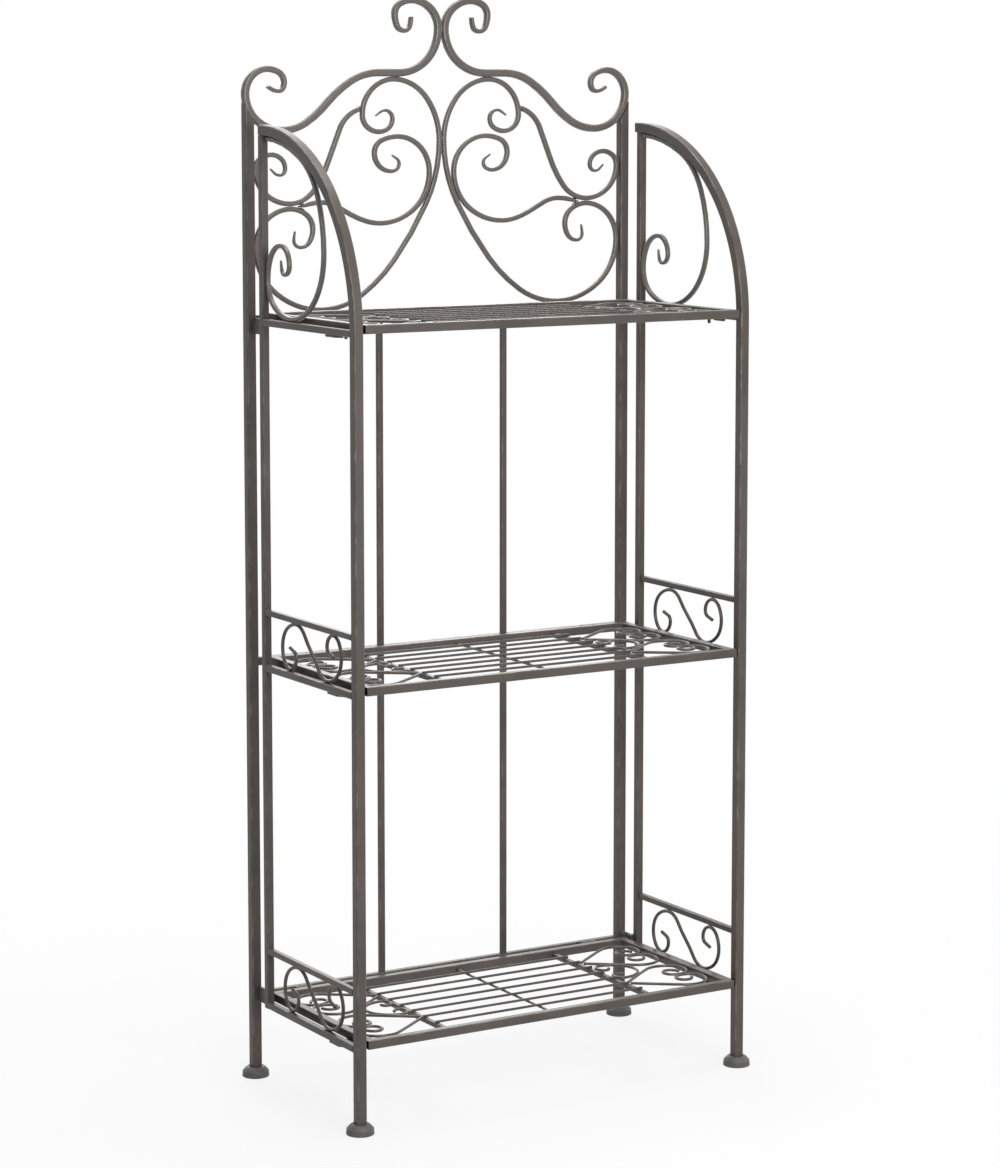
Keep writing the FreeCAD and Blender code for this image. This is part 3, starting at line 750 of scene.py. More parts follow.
    def plate(self, outline, thickness, bevel):
        """Flat plate from an outline in space thickened along a vector, with bevelled rims."""
        normal = thickness.normalized()
        depth = thickness.length
        count = len(outline)
        area = sum((outline[n - 1].cross(outline[n]) for n in range(count)), Vector())
        points = outline if area.dot(normal) > 0 else outline[::-1]
        sides = [(points[n + 1 - count] - points[n]).normalized().cross(normal)
                 for n in range(count)]
        insets = [(sides[n - 1] + sides[n]) / (1 + sides[n - 1].dot(sides[n]))
                  for n in range(count)]
        rims = []
        flats = []
        for rim_level, level, direction in ((bevel, 0, -normal), (depth - bevel, depth, normal)):
            rims.append(self.ring([(points[n] + normal * rim_level, sides[side], 1.0)
                                   for n in range(count) for side in (n - 1, n)]))
            flats.append(self.ring([(points[n] - insets[n] * bevel + normal * level, direction, 1.0)
                                    for n in range(count)]))
        self.faces.append(tuple(flats[0][::-1]))
        self.faces.append(tuple(flats[1]))
        for n in range(count):
            after = n + 1 - count
            low, low_after = rims[0][2 * n + 1], rims[0][2 * after]
            high, high_after = rims[1][2 * n + 1], rims[1][2 * after]
            self.faces.append((low, low_after, high_after, high))
            self.faces.append((low_after, low, flats[0][n], flats[0][after]))
            self.faces.append((high, high_after, flats[1][after], flats[1][n]))

    def bead(self, centre, along, out, length, width):
        """Lumpy weld bead, flattened along out."""
        along = along.normalized()
        out = (out - along * out.dot(along)).normalized()
        other = along.cross(out)
        rings = []
        for step in range(WELD_STEPS + 1):
            lean = math.pi * (step / WELD_STEPS - 0.5)
            swell = 1 + WELD_SWELL * self.wobble.uniform(-1, 1)
            radius = width / 2 * max(math.cos(lean), WELD_LEAST_RADIUS) * swell
            rows = []
            for turn in circle(WELD_SIDES):
                flat = out * (WELD_FLATNESS * math.cos(turn)) + other * math.sin(turn)
                rows.append((centre + along * (length / 2 * math.sin(lean)) + flat * radius,
                             (flat * math.cos(lean) + along * math.sin(lean)).normalized(), 0.0))
            rings.append(self.ring(rows))
        self.bridge(*rings)
        self.close(rings[0], -along, True)
        self.close(rings[-1], along, False)

    def weld(self, kind, centre, along, out, bar=None):
        """Bead of one of the named kinds across a bar, or beside a scroll."""
        size = sizes().weld_size
        length, width = WELDS[kind]
        self.bead(centre, along, out, (bar or size) * length, size * width)

    def finish(self, name, body, finish, slot, *nodes):
        """Makes the mesh, rides it on its body and lets it stand for its CAD nodes."""
        if not self.faces:
            raise RuntimeError("nothing was made for " + name)
        mesh = bpy.data.meshes.new(name)
        mesh.from_pydata([tuple(point) for point in self.points], [], self.faces)
        mesh.update()
        mesh.polygons.foreach_set("use_smooth", [True] * len(mesh.polygons))
        edge = mesh.attributes.new("edge", "FLOAT", "POINT")
        edge.data.foreach_set("value", self.edges)
        mesh.normals_split_custom_set_from_vertices([tuple(normal) for normal in self.normals])
        mesh.materials.append(finish_named(finish))
        made = bpy.data.objects.new(name, mesh)
        bpy.context.scene.collection.objects.link(made)
        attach(made, body)
        if nodes:
            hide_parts(*nodes)

    def coat(self, node, body, finish="post_coat"):
        """Finishes a steel piece that stands for one CAD node."""
        self.finish(node + "_coated", body, finish, STEEL, node)


def coat_bars(node, body, rows, across, section):
    """Straight bars between pairs of places, which stand for one CAD node."""
    piece = Piece()
    for start, end in rows:
        piece.bar(start, end, across, section, BAR_END)
    piece.coat(node, body)


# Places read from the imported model

def rise_of(level):
    """Height of a level above the lowest one."""
    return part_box("shelf_frame_" + level)[1].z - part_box("shelf_frame_" + LEVELS[0])[1].z


def span_of(node):
    low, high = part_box(node)
    return low, high, (low + high) / 2


def scroll_box(node, run, drop=0.0):
    """Two corners of the centre lines of a scroll that lies along X or Y, axis 0 or 1, and its
    bar. Drop is the height of what the node has above its lowest scroll."""
    low, high, _ = span_of(node)
    bar = high[1 - run] - low[1 - run]
    inset = complex(bar, bar) / 2
    return complex(low[run], low.z) + inset, complex(high[run], high.z - drop) - inset, bar


def back_plane(side):
    """Where a point of a line lies in the back, on the right or mirrored on the left."""
    y = span_of("crossbar_top")[2].y
    return lambda point: at(side * point.real, y, point.imag)


def side_plane(x, rise=0.0):
    """Where a point of a line lies in a side frame, higher by a rise."""
    return lambda point: at(x, point.real, point.imag + rise)


def back_lines():
    """Centre line and bar of each kind of scroll in the back, for the right half. The inner
    and the outer scroll are placed in the heart's box."""
    lines = {}
    for kind, boxed, rows in (("crest", "crest", CREST), ("heart", "heart", HEART),
                              ("inner", "heart", INNER), ("outer", "heart", OUTER)):
        corner, far_corner, bar = scroll_box(boxed + "_scroll_right", 0)
        lines[kind] = smooth_line(scroll_arcs(rows, corner, far_corner)), bar
    return lines


def side_scroll_lines(name):
    """Centre lines and bars of the arch scroll and of the lowest gallery's S-scroll, whose
    first half is its second turned half a turn."""
    corner, far_corner, bar = scroll_box("arch_scroll_" + name, 1)
    arch = smooth_line(scroll_arcs(ARCH_SCROLL, corner, far_corner))
    corner, far_corner, wire = scroll_box("gallery_scrolls_" + name, 1, rise_of(LEVELS[1]))
    half = scroll_arcs(GALLERY_SCROLL, corner, far_corner)
    turned = [(corner + far_corner - end, heading_after(start, heading, end),
               corner + far_corner - start) for start, heading, end in half[::-1]]
    return arch, bar, smooth_line(turned + half), wire


def wire_places(level):
    """Places along Y of the long wires of a shelf."""
    low, high, _ = span_of("shelf_frame_" + level)
    bar = high.z - low.z
    pitch = (high.y - low.y - 2 * bar) / (WIRE_COUNT + 1)
    return [low.y + bar + pitch * (number + 1) for number in range(WIRE_COUNT)]


def panel_lines(name, side, level):
    """Centre lines and places of the five wires of an end panel, and their diameter."""
    low, high, middle = span_of("end_scrolls_" + name + "_" + level)
    frame_low, frame_high, frame_middle = span_of("shelf_frame_" + level)
    wire = high.z - low.z
    depth = frame_high.y - frame_low.y - 2 * (frame_high.z - frame_low.z)
    near = min(abs(low.x), abs(high.x)) + wire / 2
    far = max(abs(low.x), abs(high.x)) - wire / 2

    def plane(y, arm=1):
        return lambda point: at(side * point.real, y + arm * point.imag, middle.z)

    reach = (PANEL_HEART_WIDTH * depth - wire) / 2
    arcs = scroll_arcs(PANEL_HEART, complex(near, -reach), complex(far, 0))
    heart = smooth_line(arcs, PANEL_TURN_STEP)
    rows = []
    for share in (-1, 1):
        heart_y = frame_middle.y + share * PANEL_HEART_SPACING * depth / 2
        rows.extend((heart, plane(heart_y, arm)) for arm in (-1, 1))
    reach = (PANEL_CLASP_WIDTH * depth - wire) / 2
    tip = near + PANEL_CLASP_LENGTH * (far - near + wire + 2 * PANEL_GAP) - wire
    half = scroll_arcs(PANEL_CLASP, complex(near, 0), complex(tip, reach))
    mirrored = [(end.conjugate(), -heading_after(start, heading, end).conjugate(),
                 start.conjugate()) for start, heading, end in half[::-1]]
    rows.append((smooth_line(mirrored + half, PANEL_TURN_STEP), plane(frame_middle.y)))
    return rows, wire


class SHELVING_OT_rear_posts(bpy.types.Operator):
    """Make the two rear posts, which end in a saddle under the crest"""
    bl_idname = "shelving.rear_posts"
    bl_label = "Rear Posts"

    def execute(self, context):
        saddle = self.saddle()
        lowest = saddle[0][1]
        for name, side in SIDES:
            node = "rear_post_" + name
            low, high, middle = span_of(node)
            section = rounded_section(sizes().post_rounding, high.y - low.y)
            piece = Piece()
            piece.bar(at(middle.x, middle.y, low.z), at(middle.x, middle.y, lowest), X, section,
                      POST_END, lambda x: self.height(saddle, side * x) - lowest)
            piece.coat(node, BACK)
        return {"FINISHED"}

    def saddle(self):
        """Outer edge of the crest over a post: places along the width and their heights."""
        line, bar = back_lines()["crest"]
        rows = []
        for point, heading in line:
            edge = point - 1j * heading * (bar / 2 - SADDLE_DEPTH)
            climbs = heading.real > SADDLE_LEAST_RUN and heading.imag > SADDLE_LEAST_CLIMB
            if climbs and point.real > SADDLE_FROM:
                rows.append((edge.real, edge.imag))
        return rows

    def height(self, saddle, x):
        """Height of the saddle at a place along the width."""
        for (near, low), (far, high) in zip(saddle, saddle[1:]):
            if x < far:
                return low + (high - low) * (x - near) / (far - near)
        return saddle[-1][1]


class SHELVING_OT_crossbars(bpy.types.Operator):
    """Make the crossbars and the thin back bars"""
    bl_idname = "shelving.crossbars"
    bl_label = "Crossbars and Back Bars"

    def execute(self, context):
        rounding = sizes().bar_rounding
        for level in LEVELS:
            node = "crossbar_" + level
            low, high, middle = span_of(node)
            row = (at(low.x, middle.y, middle.z), at(high.x, middle.y, middle.z))
            section = rounded_section(rounding, high.z - low.z, high.y - low.y)
            coat_bars(node, BACK, [row], Z, section)
        low, high, middle = span_of("back_bars")
        size = high.y - low.y
        rows = []
        for lower, upper in zip(LEVELS, LEVELS[1:]):
            for x in (low.x + size / 2, high.x - size / 2):
                rows.append((at(x, middle.y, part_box("crossbar_" + lower)[1].z),
                             at(x, middle.y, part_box("crossbar_" + upper)[0].z)))
        coat_bars("back_bars", BACK, rows, X, rounded_section(rounding, size))
        return {"FINISHED"}


class SHELVING_OT_back_scrolls(bpy.types.Operator):
    """Make the crest, heart, inner and outer scrolls, thinning towards their tips"""
    bl_idname = "shelving.back_scrolls"
    bl_label = "Back Scrolls"

    def execute(self, context):
        shape = sizes()
        curl = (shape.curl_taper, shape.curl_tip)
        crest = (shape.crest_taper, shape.crest_tip)
        drawn = (shape.tip_draw, DRAWN_TIP)
        ends = {
            "crest": (crest, crest, UNDRAWN, UNDRAWN), "heart": (curl, curl, drawn, drawn),
            "inner": (curl, INNER_END, drawn, UNDRAWN), "outer": (UNDRAWN, curl, UNDRAWN, drawn),
        }
        for kind, (line, bar) in back_lines().items():
            section = rounded_section(bar * shape.scroll_rounding, bar)
            shares = taper(line, *ends[kind][:2])
            deep_shares = taper(line, *ends[kind][2:])
            for name, side in SIDES:
                piece = Piece()
                piece.scroll(line, back_plane(side), Y * side, section, SCROLL_END,
                             shares, deep_shares)
                piece.coat(kind + "_scroll_" + name, BACK, "scroll_coat")
        return {"FINISHED"}


class SHELVING_OT_side_frames(bpy.types.Operator):
    """Make the arched posts, stiles, lower rails and gallery rails"""
    bl_idname = "shelving.side_frames"
    bl_label = "Side Frames"

    def execute(self, context):
        rounding = sizes().bar_rounding
        for name, _ in SIDES:
            body = name + "_side"
            node = "arch_post_" + name
            low, high, middle = span_of(node)
            size = high.x - low.x
            post_rear = low.y + size
            front = low.y + size / 2
            crown = high.z - size / 2
            radius = ARCH_RADIUS * (high.y - front)
            arc = (complex(front, crown - radius), 1j, complex(front + radius, crown))
            line = [(complex(front, low.z), 1j)] + smooth_line([arc], ARCH_TURN_STEP)
            line.append((complex(high.y, crown), 1 + 0j))
            piece = Piece()
            piece.scroll(line, side_plane(middle.x), X,
                         rounded_section(sizes().post_rounding, size), ARCH_END)
            piece.coat(node, body)

            node = "stile_" + name
            low, high, middle = span_of(node)
            row = (at(middle.x, middle.y, low.z), at(middle.x, middle.y, crown - size / 2))
            section = rounded_section(rounding, high.x - low.x, high.y - low.y)
            coat_bars(node, body, [row], X, section)

            for node, levels in (("lower_rails_" + name, LEVELS),
                                 ("gallery_rails_" + name, LEVELS[:-1])):
                low, high, middle = span_of(node)
                size = high.x - low.x
                rows = []
                for level in levels:
                    z = low.z + size / 2 + rise_of(level)
                    rows.append((at(middle.x, post_rear, z), at(middle.x, high.y, z)))
                coat_bars(node, body, rows, Z, rounded_section(rounding, size))
        return {"FINISHED"}


class SHELVING_OT_side_scrolls(bpy.types.Operator):
    """Make the arch scrolls and the S-scrolls of the galleries"""
    bl_idname = "shelving.side_scrolls"
    bl_label = "Side Scrolls"

    def execute(self, context):
        shape = sizes()
        for name, _ in SIDES:
            arch, bar, gallery, wire = side_scroll_lines(name)
            x = span_of("arch_scroll_" + name)[2].x
            piece = Piece()
            piece.scroll(arch, side_plane(x), X, rounded_section(bar * shape.scroll_rounding, bar),
                         SCROLL_END, taper(arch, UNDRAWN, (shape.curl_taper, shape.curl_tip)),
                         taper(arch, UNDRAWN, (shape.tip_draw, DRAWN_ARCH_TIP)))
            piece.coat("arch_scroll_" + name, name + "_side", "scroll_coat")
            piece = Piece()
            for level in LEVELS[:-1]:
                piece.scroll(gallery, side_plane(x, rise_of(level)), X, round_section(wire),
                             GALLERY_END)
            piece.coat("gallery_scrolls_" + name, name + "_side", "wire_coat")
        return {"FINISHED"}


class SHELVING_OT_feet(bpy.types.Operator):
    """Make the round moulded foot caps with their collars"""
    bl_idname = "shelving.feet"
    bl_label = "Foot Caps"

    def execute(self, context):
        for name, _ in SIDES:
            for place, body in (("rear", BACK), ("front", name + "_side")):
                node = place + "_foot_" + name
                low, high, middle = span_of(node)
                radius = (high.x - low.x) / 2
                rows = FOOT_PROFILE + ((high.z, FOOT_TOP_INSET, FOOT_TOP_LEAN),)
                profile = [(along, radius - inset, degrees) for along, inset, degrees in rows]
                piece = Piece()
                foot = at(middle.x, middle.y, 0)
                piece.turned(foot, Z, profile, FOOT_SIDES, end_flat=False)
                self.collar(piece, foot + Z * high.z, radius - FOOT_TOP_INSET)
                piece.finish(node + "_moulded", body, "moulded", MOULDED, node)
        return {"FINISHED"}

    def collar(self, piece, top, radius):
        """Top of the collar, from a circle to the post's rounded square, and the hole's wall."""
        rings = []
        for share, drop, wall in ((0, 0, False), (1, 0, False), (1, 0, True),
                                  (1, FOOT_HOLE_DEPTH, True)):
            rows = []
            for turn in circle(FOOT_SIDES):
                out = at(math.cos(turn), math.sin(turn), 0)
                here = out * (radius + (self.reach(turn) - radius) * share)
                rows.append((top + here - Z * drop, -out if wall else Z, 0.0))
            rings.append(piece.ring(rows))
        piece.bridge(*rings[:2])
        piece.bridge(*rings[2:])

    def reach(self, turn):
        """Distance from the middle to the hole's rounded square in a direction."""
        c = abs(math.cos(turn))
        s = abs(math.sin(turn))
        inner = FOOT_HOLE_HALF - FOOT_HOLE_CORNER
        flat = FOOT_HOLE_HALF / max(c, s)
        if min(c, s) * flat <= inner:
            return flat
        along = inner * (c + s)
        return along + math.sqrt(along ** 2 - 2 * inner ** 2 + FOOT_HOLE_CORNER ** 2)


class SHELVING_OT_side_hinges(bpy.types.Operator):
    """Make the lift-off hinges between the rear posts and the side frames"""
    bl_idname = "shelving.side_hinges"
    bl_label = "Side Hinges"

    def execute(self, context):
        for name, side in SIDES:
            bracket = "side_hinge_bracket_" + name
            knuckle = "hinge_knuckles_" + name
            low, high, _ = span_of(bracket)
            k_low, k_high, _ = span_of(knuckle)
            radius = BARREL / 2
            x = k_low.x + radius if side > 0 else k_high.x - radius
            y = k_low.y + radius
            axis = at(x, y, 0)
            leaf_width, leaf_thickness = SIDE_LEAF
            fixed = Piece()
            pins = Piece()
            loose = Piece()
            for foot in (low.z, high.z - SIDE_HINGE_HEIGHT):
                top = foot + SIDE_HINGE_HEIGHT
                middle = foot + SIDE_HINGE_HEIGHT / 2
                fixed.rod(axis + Z * foot, axis + Z * (middle - SIDE_HINGE_SEAT),
                          BARREL - BARREL_PLAY, BARREL_END)
                outline = [
                    (y, foot), (high.y, foot), (high.y, top - SIDE_PLATE_CHAMFER),
                    (high.y - SIDE_PLATE_CHAMFER, top), (y + radius + HINGE_GAP, top),
                    (y + radius + HINGE_GAP, middle), (y, middle)]
                fixed.plate([at(x - SIDE_PLATE / 2, along, up) for along, up in outline],
                            X * SIDE_PLATE, SIDE_PLATE_BEVEL)
                pins.rod(axis + Z * (foot + SIDE_PIN_RECESS), axis + Z * (top - SIDE_PIN_RECESS),
                         HINGE_PIN, SIDE_PIN_END)
                seat = middle + HINGE_GAP
                loose.rod(axis + Z * seat, axis + Z * top, BARREL, BARREL_END)
                far = x + side * leaf_width
                outline = [(x, seat), (far, seat), (far, top), (x, top)]
                loose.plate([at(across, k_low.y, up) for across, up in outline],
                            Y * leaf_thickness, HINGE_LEAF_BEVEL)
            fixed.coat(bracket, BACK)
            pins.finish("side_hinge_pins_" + name, BACK, "pin", STEEL)
            loose.coat(knuckle, name + "_side")
        return {"FINISHED"}


class SHELVING_OT_catch_plates(bpy.types.Operator):
    """Make the slanted catch plates on the lower rails' inner faces, with their tongues"""
    bl_idname = "shelving.catch_plates"
    bl_label = "Catch Plates"

    def execute(self, context):
        for name, side in SIDES:
            node = "catch_plates_" + name
            low, high, _ = span_of(node)
            rail_low, rail_high, _ = span_of("lower_rails_" + name)
            reach = high.x - low.x
            outer, inner = (high.x, low.x) if side > 0 else (low.x, high.x)
            edge = (rail_high.x if side > 0 else rail_low.x) - side * TONGUE_SETBACK
            slant = high.y - side * (outer - edge)
            front = low.y + CATCH_CUT
            outer_length, edge_length = TONGUE_LENGTHS
            piece = Piece()
            for level in LEVELS:
                rise = rise_of(level)
                z = low.z + CATCH_SOLID - CATCH_THICKNESS + rise
                outline = [(outer, high.y), (inner, high.y - reach), (inner, front + reach),
                           (outer, front)]
                piece.plate([at(x, y, z) for x, y in outline], Z * CATCH_THICKNESS, CATCH_BEVEL)
                z = rail_low.z + rise
                outline = [(edge, slant), (outer, high.y), (outer, high.y - outer_length),
                           (edge, slant - edge_length)]
                piece.plate([at(x, y, z) for x, y in outline], Z * -TONGUE_THICKNESS,
                            TONGUE_BEVEL)
            piece.coat(node, name + "_side")
        return {"FINISHED"}


class SHELVING_OT_shelf_frames(bpy.types.Operator):
    """Make the rails and cross bars of the three shelves"""
    bl_idname = "shelving.shelf_frames"
    bl_label = "Shelf Frames"

    def execute(self, context):
        rounding = sizes().bar_rounding
        for level in LEVELS:
            node = "shelf_frame_" + level
            low, high, middle = span_of(node)
            size = high.z - low.z
            section = rounded_section(rounding, size)
            piece = Piece()
            for y in (low.y + size / 2, high.y - size / 2):
                piece.tube(at(low.x, y, middle.z), at(high.x, y, middle.z), Z, section)
            for x in (low.x + size / 2, high.x - size / 2):
                piece.bar(at(x, low.y + size, middle.z), at(x, high.y - size, middle.z), Z,
                          section, BAR_END)
            piece.coat(node, "shelf_" + level)

            node = "shelf_bars_" + level
            low, high, middle = span_of(node)
            size = high.z - low.z
            rows = [(at(x, low.y, middle.z), at(x, high.y, middle.z))
                    for x in (low.x + size / 2, high.x - size / 2)]
            coat_bars(node, "shelf_" + level, rows, Z, rounded_section(rounding, size))
        return {"FINISHED"}


class SHELVING_OT_shelf_wires(bpy.types.Operator):
    """Make the long wires, the cross wire and the scrolled end panels of the shelves"""
    bl_idname = "shelving.shelf_wires"
    bl_label = "Shelf Wires"

    def execute(self, context):
        for level in LEVELS:
            node = "shelf_wires_" + level
            low, high, _ = span_of(node)
            frame_low, frame_high, _ = span_of("shelf_frame_" + level)
            size = frame_high.z - frame_low.z
            z = high.z - SHELF_WIRE / 2
            section = round_section(SHELF_WIRE)
            piece = Piece()
            for y in wire_places(level):
                piece.bar(at(low.x, y, z), at(high.x, y, z), Y, section, WIRE_END)
            piece.bar(at(0, frame_low.y + size, z - SHELF_WIRE),
                      at(0, frame_high.y - size, z - SHELF_WIRE), X, section, BAR_END)
            piece.coat(node, "shelf_" + level, "wire_coat")
            for name, side in SIDES:
                rows, wire = panel_lines(name, side, level)
                piece = Piece()
                for line, place in rows:
                    piece.scroll(line, place, Z, round_section(wire, PANEL_WIRE_SIDES), PANEL_END)
                piece.coat("end_scrolls_" + name + "_" + level, "shelf_" + level, "wire_coat")
        return {"FINISHED"}


class SHELVING_OT_shelf_hinges(bpy.types.Operator):
    """Make the lugs, pins and eyes of the shelf hinges"""
    bl_idname = "shelving.shelf_hinges"
    bl_label = "Shelf Hinges"

    def execute(self, context):
        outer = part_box("shelf_hinge_brackets")[1].x
        radius = BARREL / 2
        corner = radius * math.tan(math.pi / 8)
        brackets = Piece()
        pins = Piece()
        for level in LEVELS:
            _, high, middle = span_of("hinge_eyes_" + level)
            bar_low, bar_high, _ = span_of("crossbar_" + level)
            z = middle.z
            y = high.y - radius
            lug = [
                (bar_low.y, z - radius), (y - corner, z - radius), (y - radius, z - corner),
                (y - radius, z + corner), (y - corner, z + radius), (y + corner, z + radius),
                (bar_low.y, bar_high.z)]
            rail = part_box("shelf_frame_" + level)[1].y
            eyes = Piece()
            for near in (-outer, outer - SHELF_HINGE_WIDTH):
                far = near + SHELF_HINGE_WIDTH
                for x in (near, far - SHELF_LUG):
                    brackets.plate([at(x, along, up) for along, up in lug], X * SHELF_LUG,
                                   SHELF_LUG_BEVEL)
                pins.rod(at(near, y, z), at(far, y, z), HINGE_PIN, SHELF_PIN_END)
                start = near + SHELF_LUG + HINGE_GAP
                end = far - SHELF_LUG - HINGE_GAP
                eyes.rod(at(start, y, z), at(end, y, z), BARREL, BARREL_END)
                outline = [(start, rail), (end, rail), (end, y), (start, y)]
                eyes.plate([at(x, along, z - SHELF_LEAF / 2) for x, along in outline],
                           Z * SHELF_LEAF, HINGE_LEAF_BEVEL)
            eyes.coat("hinge_eyes_" + level, "shelf_" + level)
        brackets.coat("shelf_hinge_brackets", BACK)
        pins.finish("shelf_hinge_pins", BACK, "pin", STEEL)
        return {"FINISHED"}


class SHELVING_OT_lock_pins(bpy.types.Operator):
    """Make the lock pins under the shelves"""
    bl_idname = "shelving.lock_pins"
    bl_label = "Lock Pins"

    def execute(self, context):
        for level in LEVELS:
            node = "lock_pins_" + level
            low, high, middle = span_of(node)
            diameter = high.y - low.y
            piece = Piece()
            for x in (low.x + diameter / 2, high.x - diameter / 2):
                piece.rod(at(x, middle.y, low.z), at(x, middle.y, high.z), diameter, LOCK_PIN_END)
            piece.coat(node, "shelf_" + level, "pin_coat")
        return {"FINISHED"}


def nearest_places(first, second):
    """Middle between the closest places of two lines in one plane, and the first's heading."""
    pairs = ((abs(one - other), number, (one + other) / 2, heading)
             for number, (one, heading) in enumerate(first) for other, _ in second)
    return min(pairs, key=lambda pair: pair[:2])[2:]


def mirrored_line(line):
    return [(complex(-point.real, point.imag), heading) for point, heading in line]


class SHELVING_OT_welds(bpy.types.Operator):
    """Lay weld beads where the bars meet"""
    bl_idname = "shelving.welds"
    bl_label = "Weld Beads"

    def execute(self, context):
        wobble = random.Random(7)
        self.back(wobble)
        self.side_frames(wobble)
        self.shelves(wobble)
        return {"FINISHED"}

    def back(self, wobble):
        piece = Piece(wobble)
        lines = {kind: line for kind, (line, _) in back_lines().items()}
        face = back_lines()["heart"][1] / 2 - WELD_SINK
        contacts = [nearest_places(lines[first], lines[second]) for first, second in
                    (("crest", "heart"), ("heart", "inner"), ("inner", "outer"))]
        point, heading = lines["outer"][0]
        contacts += [(point, heading * 1j), lines["inner"][-1]]
        rows = [("scroll", side, contact) for _, side in SIDES for contact in contacts]
        for kind in ("heart", "crest"):
            contact = nearest_places(lines[kind], mirrored_line(lines[kind]))
            rows.append(("mirror_line", 1, contact))
        for kind, side, (point, heading) in rows:
            place = back_plane(side)
            along = place(point + heading * MM) - place(point)
            for facing in (-1, 1):
                piece.weld(kind, place(point) + Y * (facing * face), along, Y)
        for level in LEVELS:
            low, high, middle = span_of("crossbar_" + level)
            for x in (low.x, high.x):
                for z in (low.z, high.z):
                    piece.weld("back_bar", at(x, middle.y, z), Y, Z, high.y - low.y)
        low, high, middle = span_of("back_bars")
        bar = high.y - low.y
        for lower, upper in zip(LEVELS, LEVELS[1:]):
            for x in (low.x + bar / 2, high.x - bar / 2):
                for z in (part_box("crossbar_" + lower)[1].z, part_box("crossbar_" + upper)[0].z):
                    for edge in (x - bar / 2, x + bar / 2):
                        piece.weld("back_bar", at(edge, middle.y, z), Y, Z, bar)
        piece.finish("back_frame_welds", BACK, "weld", STEEL)

    def side_frames(self, wobble):
        for name, _ in SIDES:
            piece = Piece(wobble)
            for node, levels in (("lower_rails_", LEVELS), ("gallery_rails_", LEVELS[:-1])):
                low, high, middle = span_of(node + name)
                bar = high.x - low.x
                for level in levels:
                    for y in (low.y, high.y):
                        for edge in (low.z, low.z + bar):
                            piece.weld("side_rail", at(middle.x, y, edge + rise_of(level)), X, Z,
                                       bar)
            low, high, middle = span_of("stile_" + name)
            for y in (low.y, high.y):
                piece.weld("stile", at(middle.x, y, high.z), X, Y, high.x - low.x)
            arch, bar, gallery, wire = side_scroll_lines(name)
            x = span_of("arch_scroll_" + name)[2].x
            heights = [point.imag for point, _ in gallery]
            for level in LEVELS[:-1]:
                for height, edge in ((min(heights), -1), (max(heights), 1)):
                    point = gallery[heights.index(height)][0] + edge * 1j * wire / 2
                    piece.weld("gallery", side_plane(x, rise_of(level))(point), Y, Z)
            lowest = min(arch, key=lambda row: row[0].imag)[0]
            piece.weld("arch_side", side_plane(x)(lowest - 1j * bar / 2), Y, Z)
            piece.weld("arch_top", side_plane(x)(arch[0][0] + 1j * bar / 2), Y, Z)
            piece.finish(name + "_side_welds", name + "_side", "weld", STEEL)

    def shelves(self, wobble):
        for level in LEVELS:
            piece = Piece(wobble)
            low, high, _ = span_of("shelf_frame_" + level)
            bar = high.z - low.z
            for x in (low.x + bar / 2, high.x - bar / 2):
                for y in (low.y + bar, high.y - bar):
                    for z in (low.z + WELD_SINK, high.z - WELD_SINK):
                        piece.weld("shelf_corner", at(x, y, z), X, Z, bar)
            low, high, _ = span_of("shelf_bars_" + level)
            bar = high.z - low.z
            for y in wire_places(level):
                for x in (low.x + bar / 2, high.x - bar / 2):
                    piece.weld("wire", at(x, y, high.z), X, Z, bar)
            piece.finish("shelf_" + level + "_welds", "shelf_" + level, "weld", STEEL)


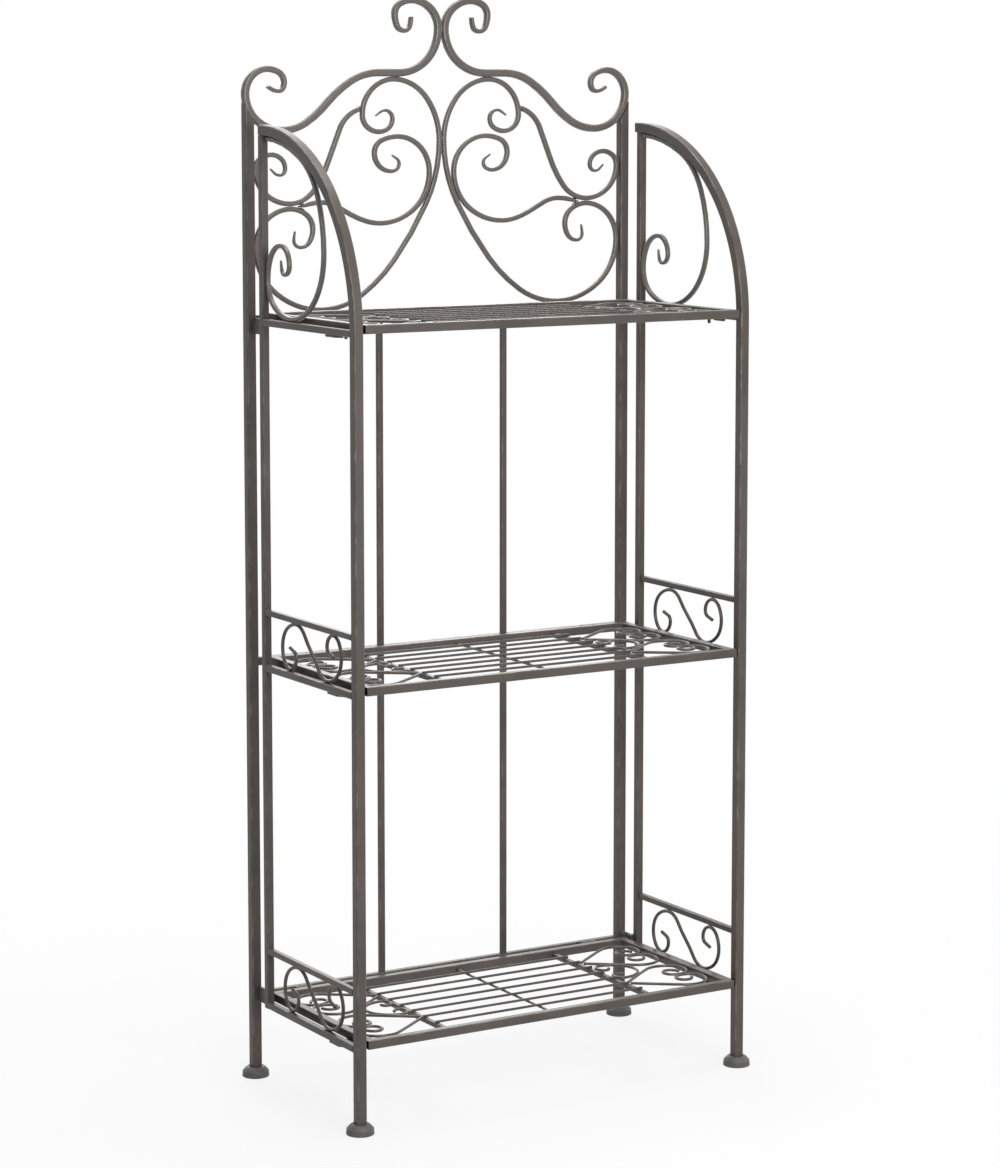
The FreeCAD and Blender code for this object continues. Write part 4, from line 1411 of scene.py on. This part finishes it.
class SHELVING_OT_stage(bpy.types.Operator):
    """Lay the floor and set the lights and the camera"""
    bl_idname = "shelving.stage"
    bl_label = "Stage"

    def execute(self, context):
        view = context.scene.shelving_view
        self.floor(context, view)
        self.world(context, view)
        for name, place, aim, size in LAMPS:
            self.lamp(context, name, place, aim, size, getattr(view, name + "_power"))
        self.camera(context, view)
        context.scene.view_settings.view_transform = "Standard"
        return {"FINISHED"}

    def floor(self, context, view):
        mesh = bpy.data.meshes.new("floor")
        mesh.from_pydata([(FLOOR_RADIUS * math.cos(turn), FLOOR_RADIUS * math.sin(turn), 0)
                          for turn in circle(FLOOR_SIDES)], [], [tuple(range(FLOOR_SIDES))])
        made = bpy.data.objects.new("floor", mesh)
        context.scene.collection.objects.link(made)
        finish = new_finish("pale_floor")
        shade = colours().floor
        colour = finish.mixed(finish.patches(0.3, 0.7, 3, 3), shaded(shade, 0.985), shade)
        matte = finish.node("ShaderNodeBsdfDiffuse", None, {"Color": colour})
        glow = finish.node("ShaderNodeEmission", None, {"Color": WHITE, "Strength": 1.0})
        place = finish.node("ShaderNodeTexCoord", output="Object")
        away = finish.node("ShaderNodeVectorMath", {"operation": "LENGTH"}, {0: place},
                           output="Value")
        far = finish.between(away, 0.25 * view.floor_reach, view.floor_reach)
        mixed = finish.node("ShaderNodeMixShader", None,
                            {0: finish.seen() * (far * 0.2 + 0.8), 1: matte, 2: glow})
        finish.node("ShaderNodeOutputMaterial", None, {"Surface": mixed})
        mesh.materials.append(finish.owner)

    def world(self, context, view):
        """Weak light from all round, which the camera sees as white."""
        world = bpy.data.worlds.new("soft_room")
        context.scene.world = world
        nodes = Nodes(world)
        room, white = [nodes.node("ShaderNodeBackground", None, {"Color": WHITE, "Strength": level})
                       for level in (view.room_light, 1.0)]
        mixed = nodes.node("ShaderNodeMixShader", None, {0: nodes.seen(), 1: room, 2: white})
        nodes.node("ShaderNodeOutputWorld", None, {"Surface": mixed})

    def lamp(self, context, name, place, aim, size, power):
        """Square lamp aimed at a height over the middle of the unit."""
        light = bpy.data.lights.new(name + "_light", "AREA")
        light.shape = "SQUARE"
        light.size = size
        light.energy = power
        made = bpy.data.objects.new(name + "_light", light)
        made.location = place
        made.rotation_euler = (Z * aim - Vector(place)).to_track_quat("-Z", "Y").to_euler()
        made.visible_camera = False
        context.scene.collection.objects.link(made)

    def camera(self, context, view):
        camera = bpy.data.cameras.new("photo_camera")
        camera.sensor_width = 36
        camera.lens = view.camera_lens
        camera.shift_y = view.camera_shift
        made = bpy.data.objects.new("photo_camera", camera)
        turned = Euler((math.pi / 2 - view.camera_dip, 0, -view.camera_turn))
        made.matrix_world = Matrix.LocRotScale(view.camera_place, turned, None)
        context.scene.collection.objects.link(made)
        context.scene.camera = made


GROUPS = {
    "shelving_sizes": ShelvingSizes,
    "shelving_colours": ShelvingColours,
    "shelving_view": ShelvingView,
}
OPERATORS = (
    SHELVING_OT_rear_posts, SHELVING_OT_crossbars, SHELVING_OT_back_scrolls,
    SHELVING_OT_side_frames, SHELVING_OT_side_scrolls, SHELVING_OT_feet,
    SHELVING_OT_side_hinges, SHELVING_OT_catch_plates, SHELVING_OT_shelf_frames,
    SHELVING_OT_shelf_wires, SHELVING_OT_shelf_hinges, SHELVING_OT_lock_pins,
    SHELVING_OT_welds, SHELVING_OT_stage,
)


class SHELVING_PT_panel(bpy.types.Panel):
    """Panel that lists the sizes, colours and pieces."""
    bl_idname = "SHELVING_PT_panel"
    bl_label = "Shelving Unit"
    bl_space_type = "VIEW_3D"
    bl_region_type = "UI"
    bl_category = "Shelving"

    def draw(self, context):
        for group in GROUPS:
            box = self.layout.box()
            for name in GROUPS[group].__annotations__:
                box.prop(getattr(context.scene, group), name)
        column = self.layout.column()
        for operator in OPERATORS:
            column.operator(operator.bl_idname)


def register():
    for kind in (*GROUPS.values(), *OPERATORS, SHELVING_PT_panel):
        bpy.utils.register_class(kind)
    for name, group in GROUPS.items():
        setattr(bpy.types.Scene, name, bpy.props.PointerProperty(type=group))


def unregister():
    for name in GROUPS:
        delattr(bpy.types.Scene, name)
    for kind in (SHELVING_PT_panel, *OPERATORS, *GROUPS.values()):
        bpy.utils.unregister_class(kind)


def main():
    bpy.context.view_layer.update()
    register()
    for operator in OPERATORS:
        group, name = operator.bl_idname.split(".")
        getattr(getattr(bpy.ops, group), name)()


if __name__ == "__main__":
    main()
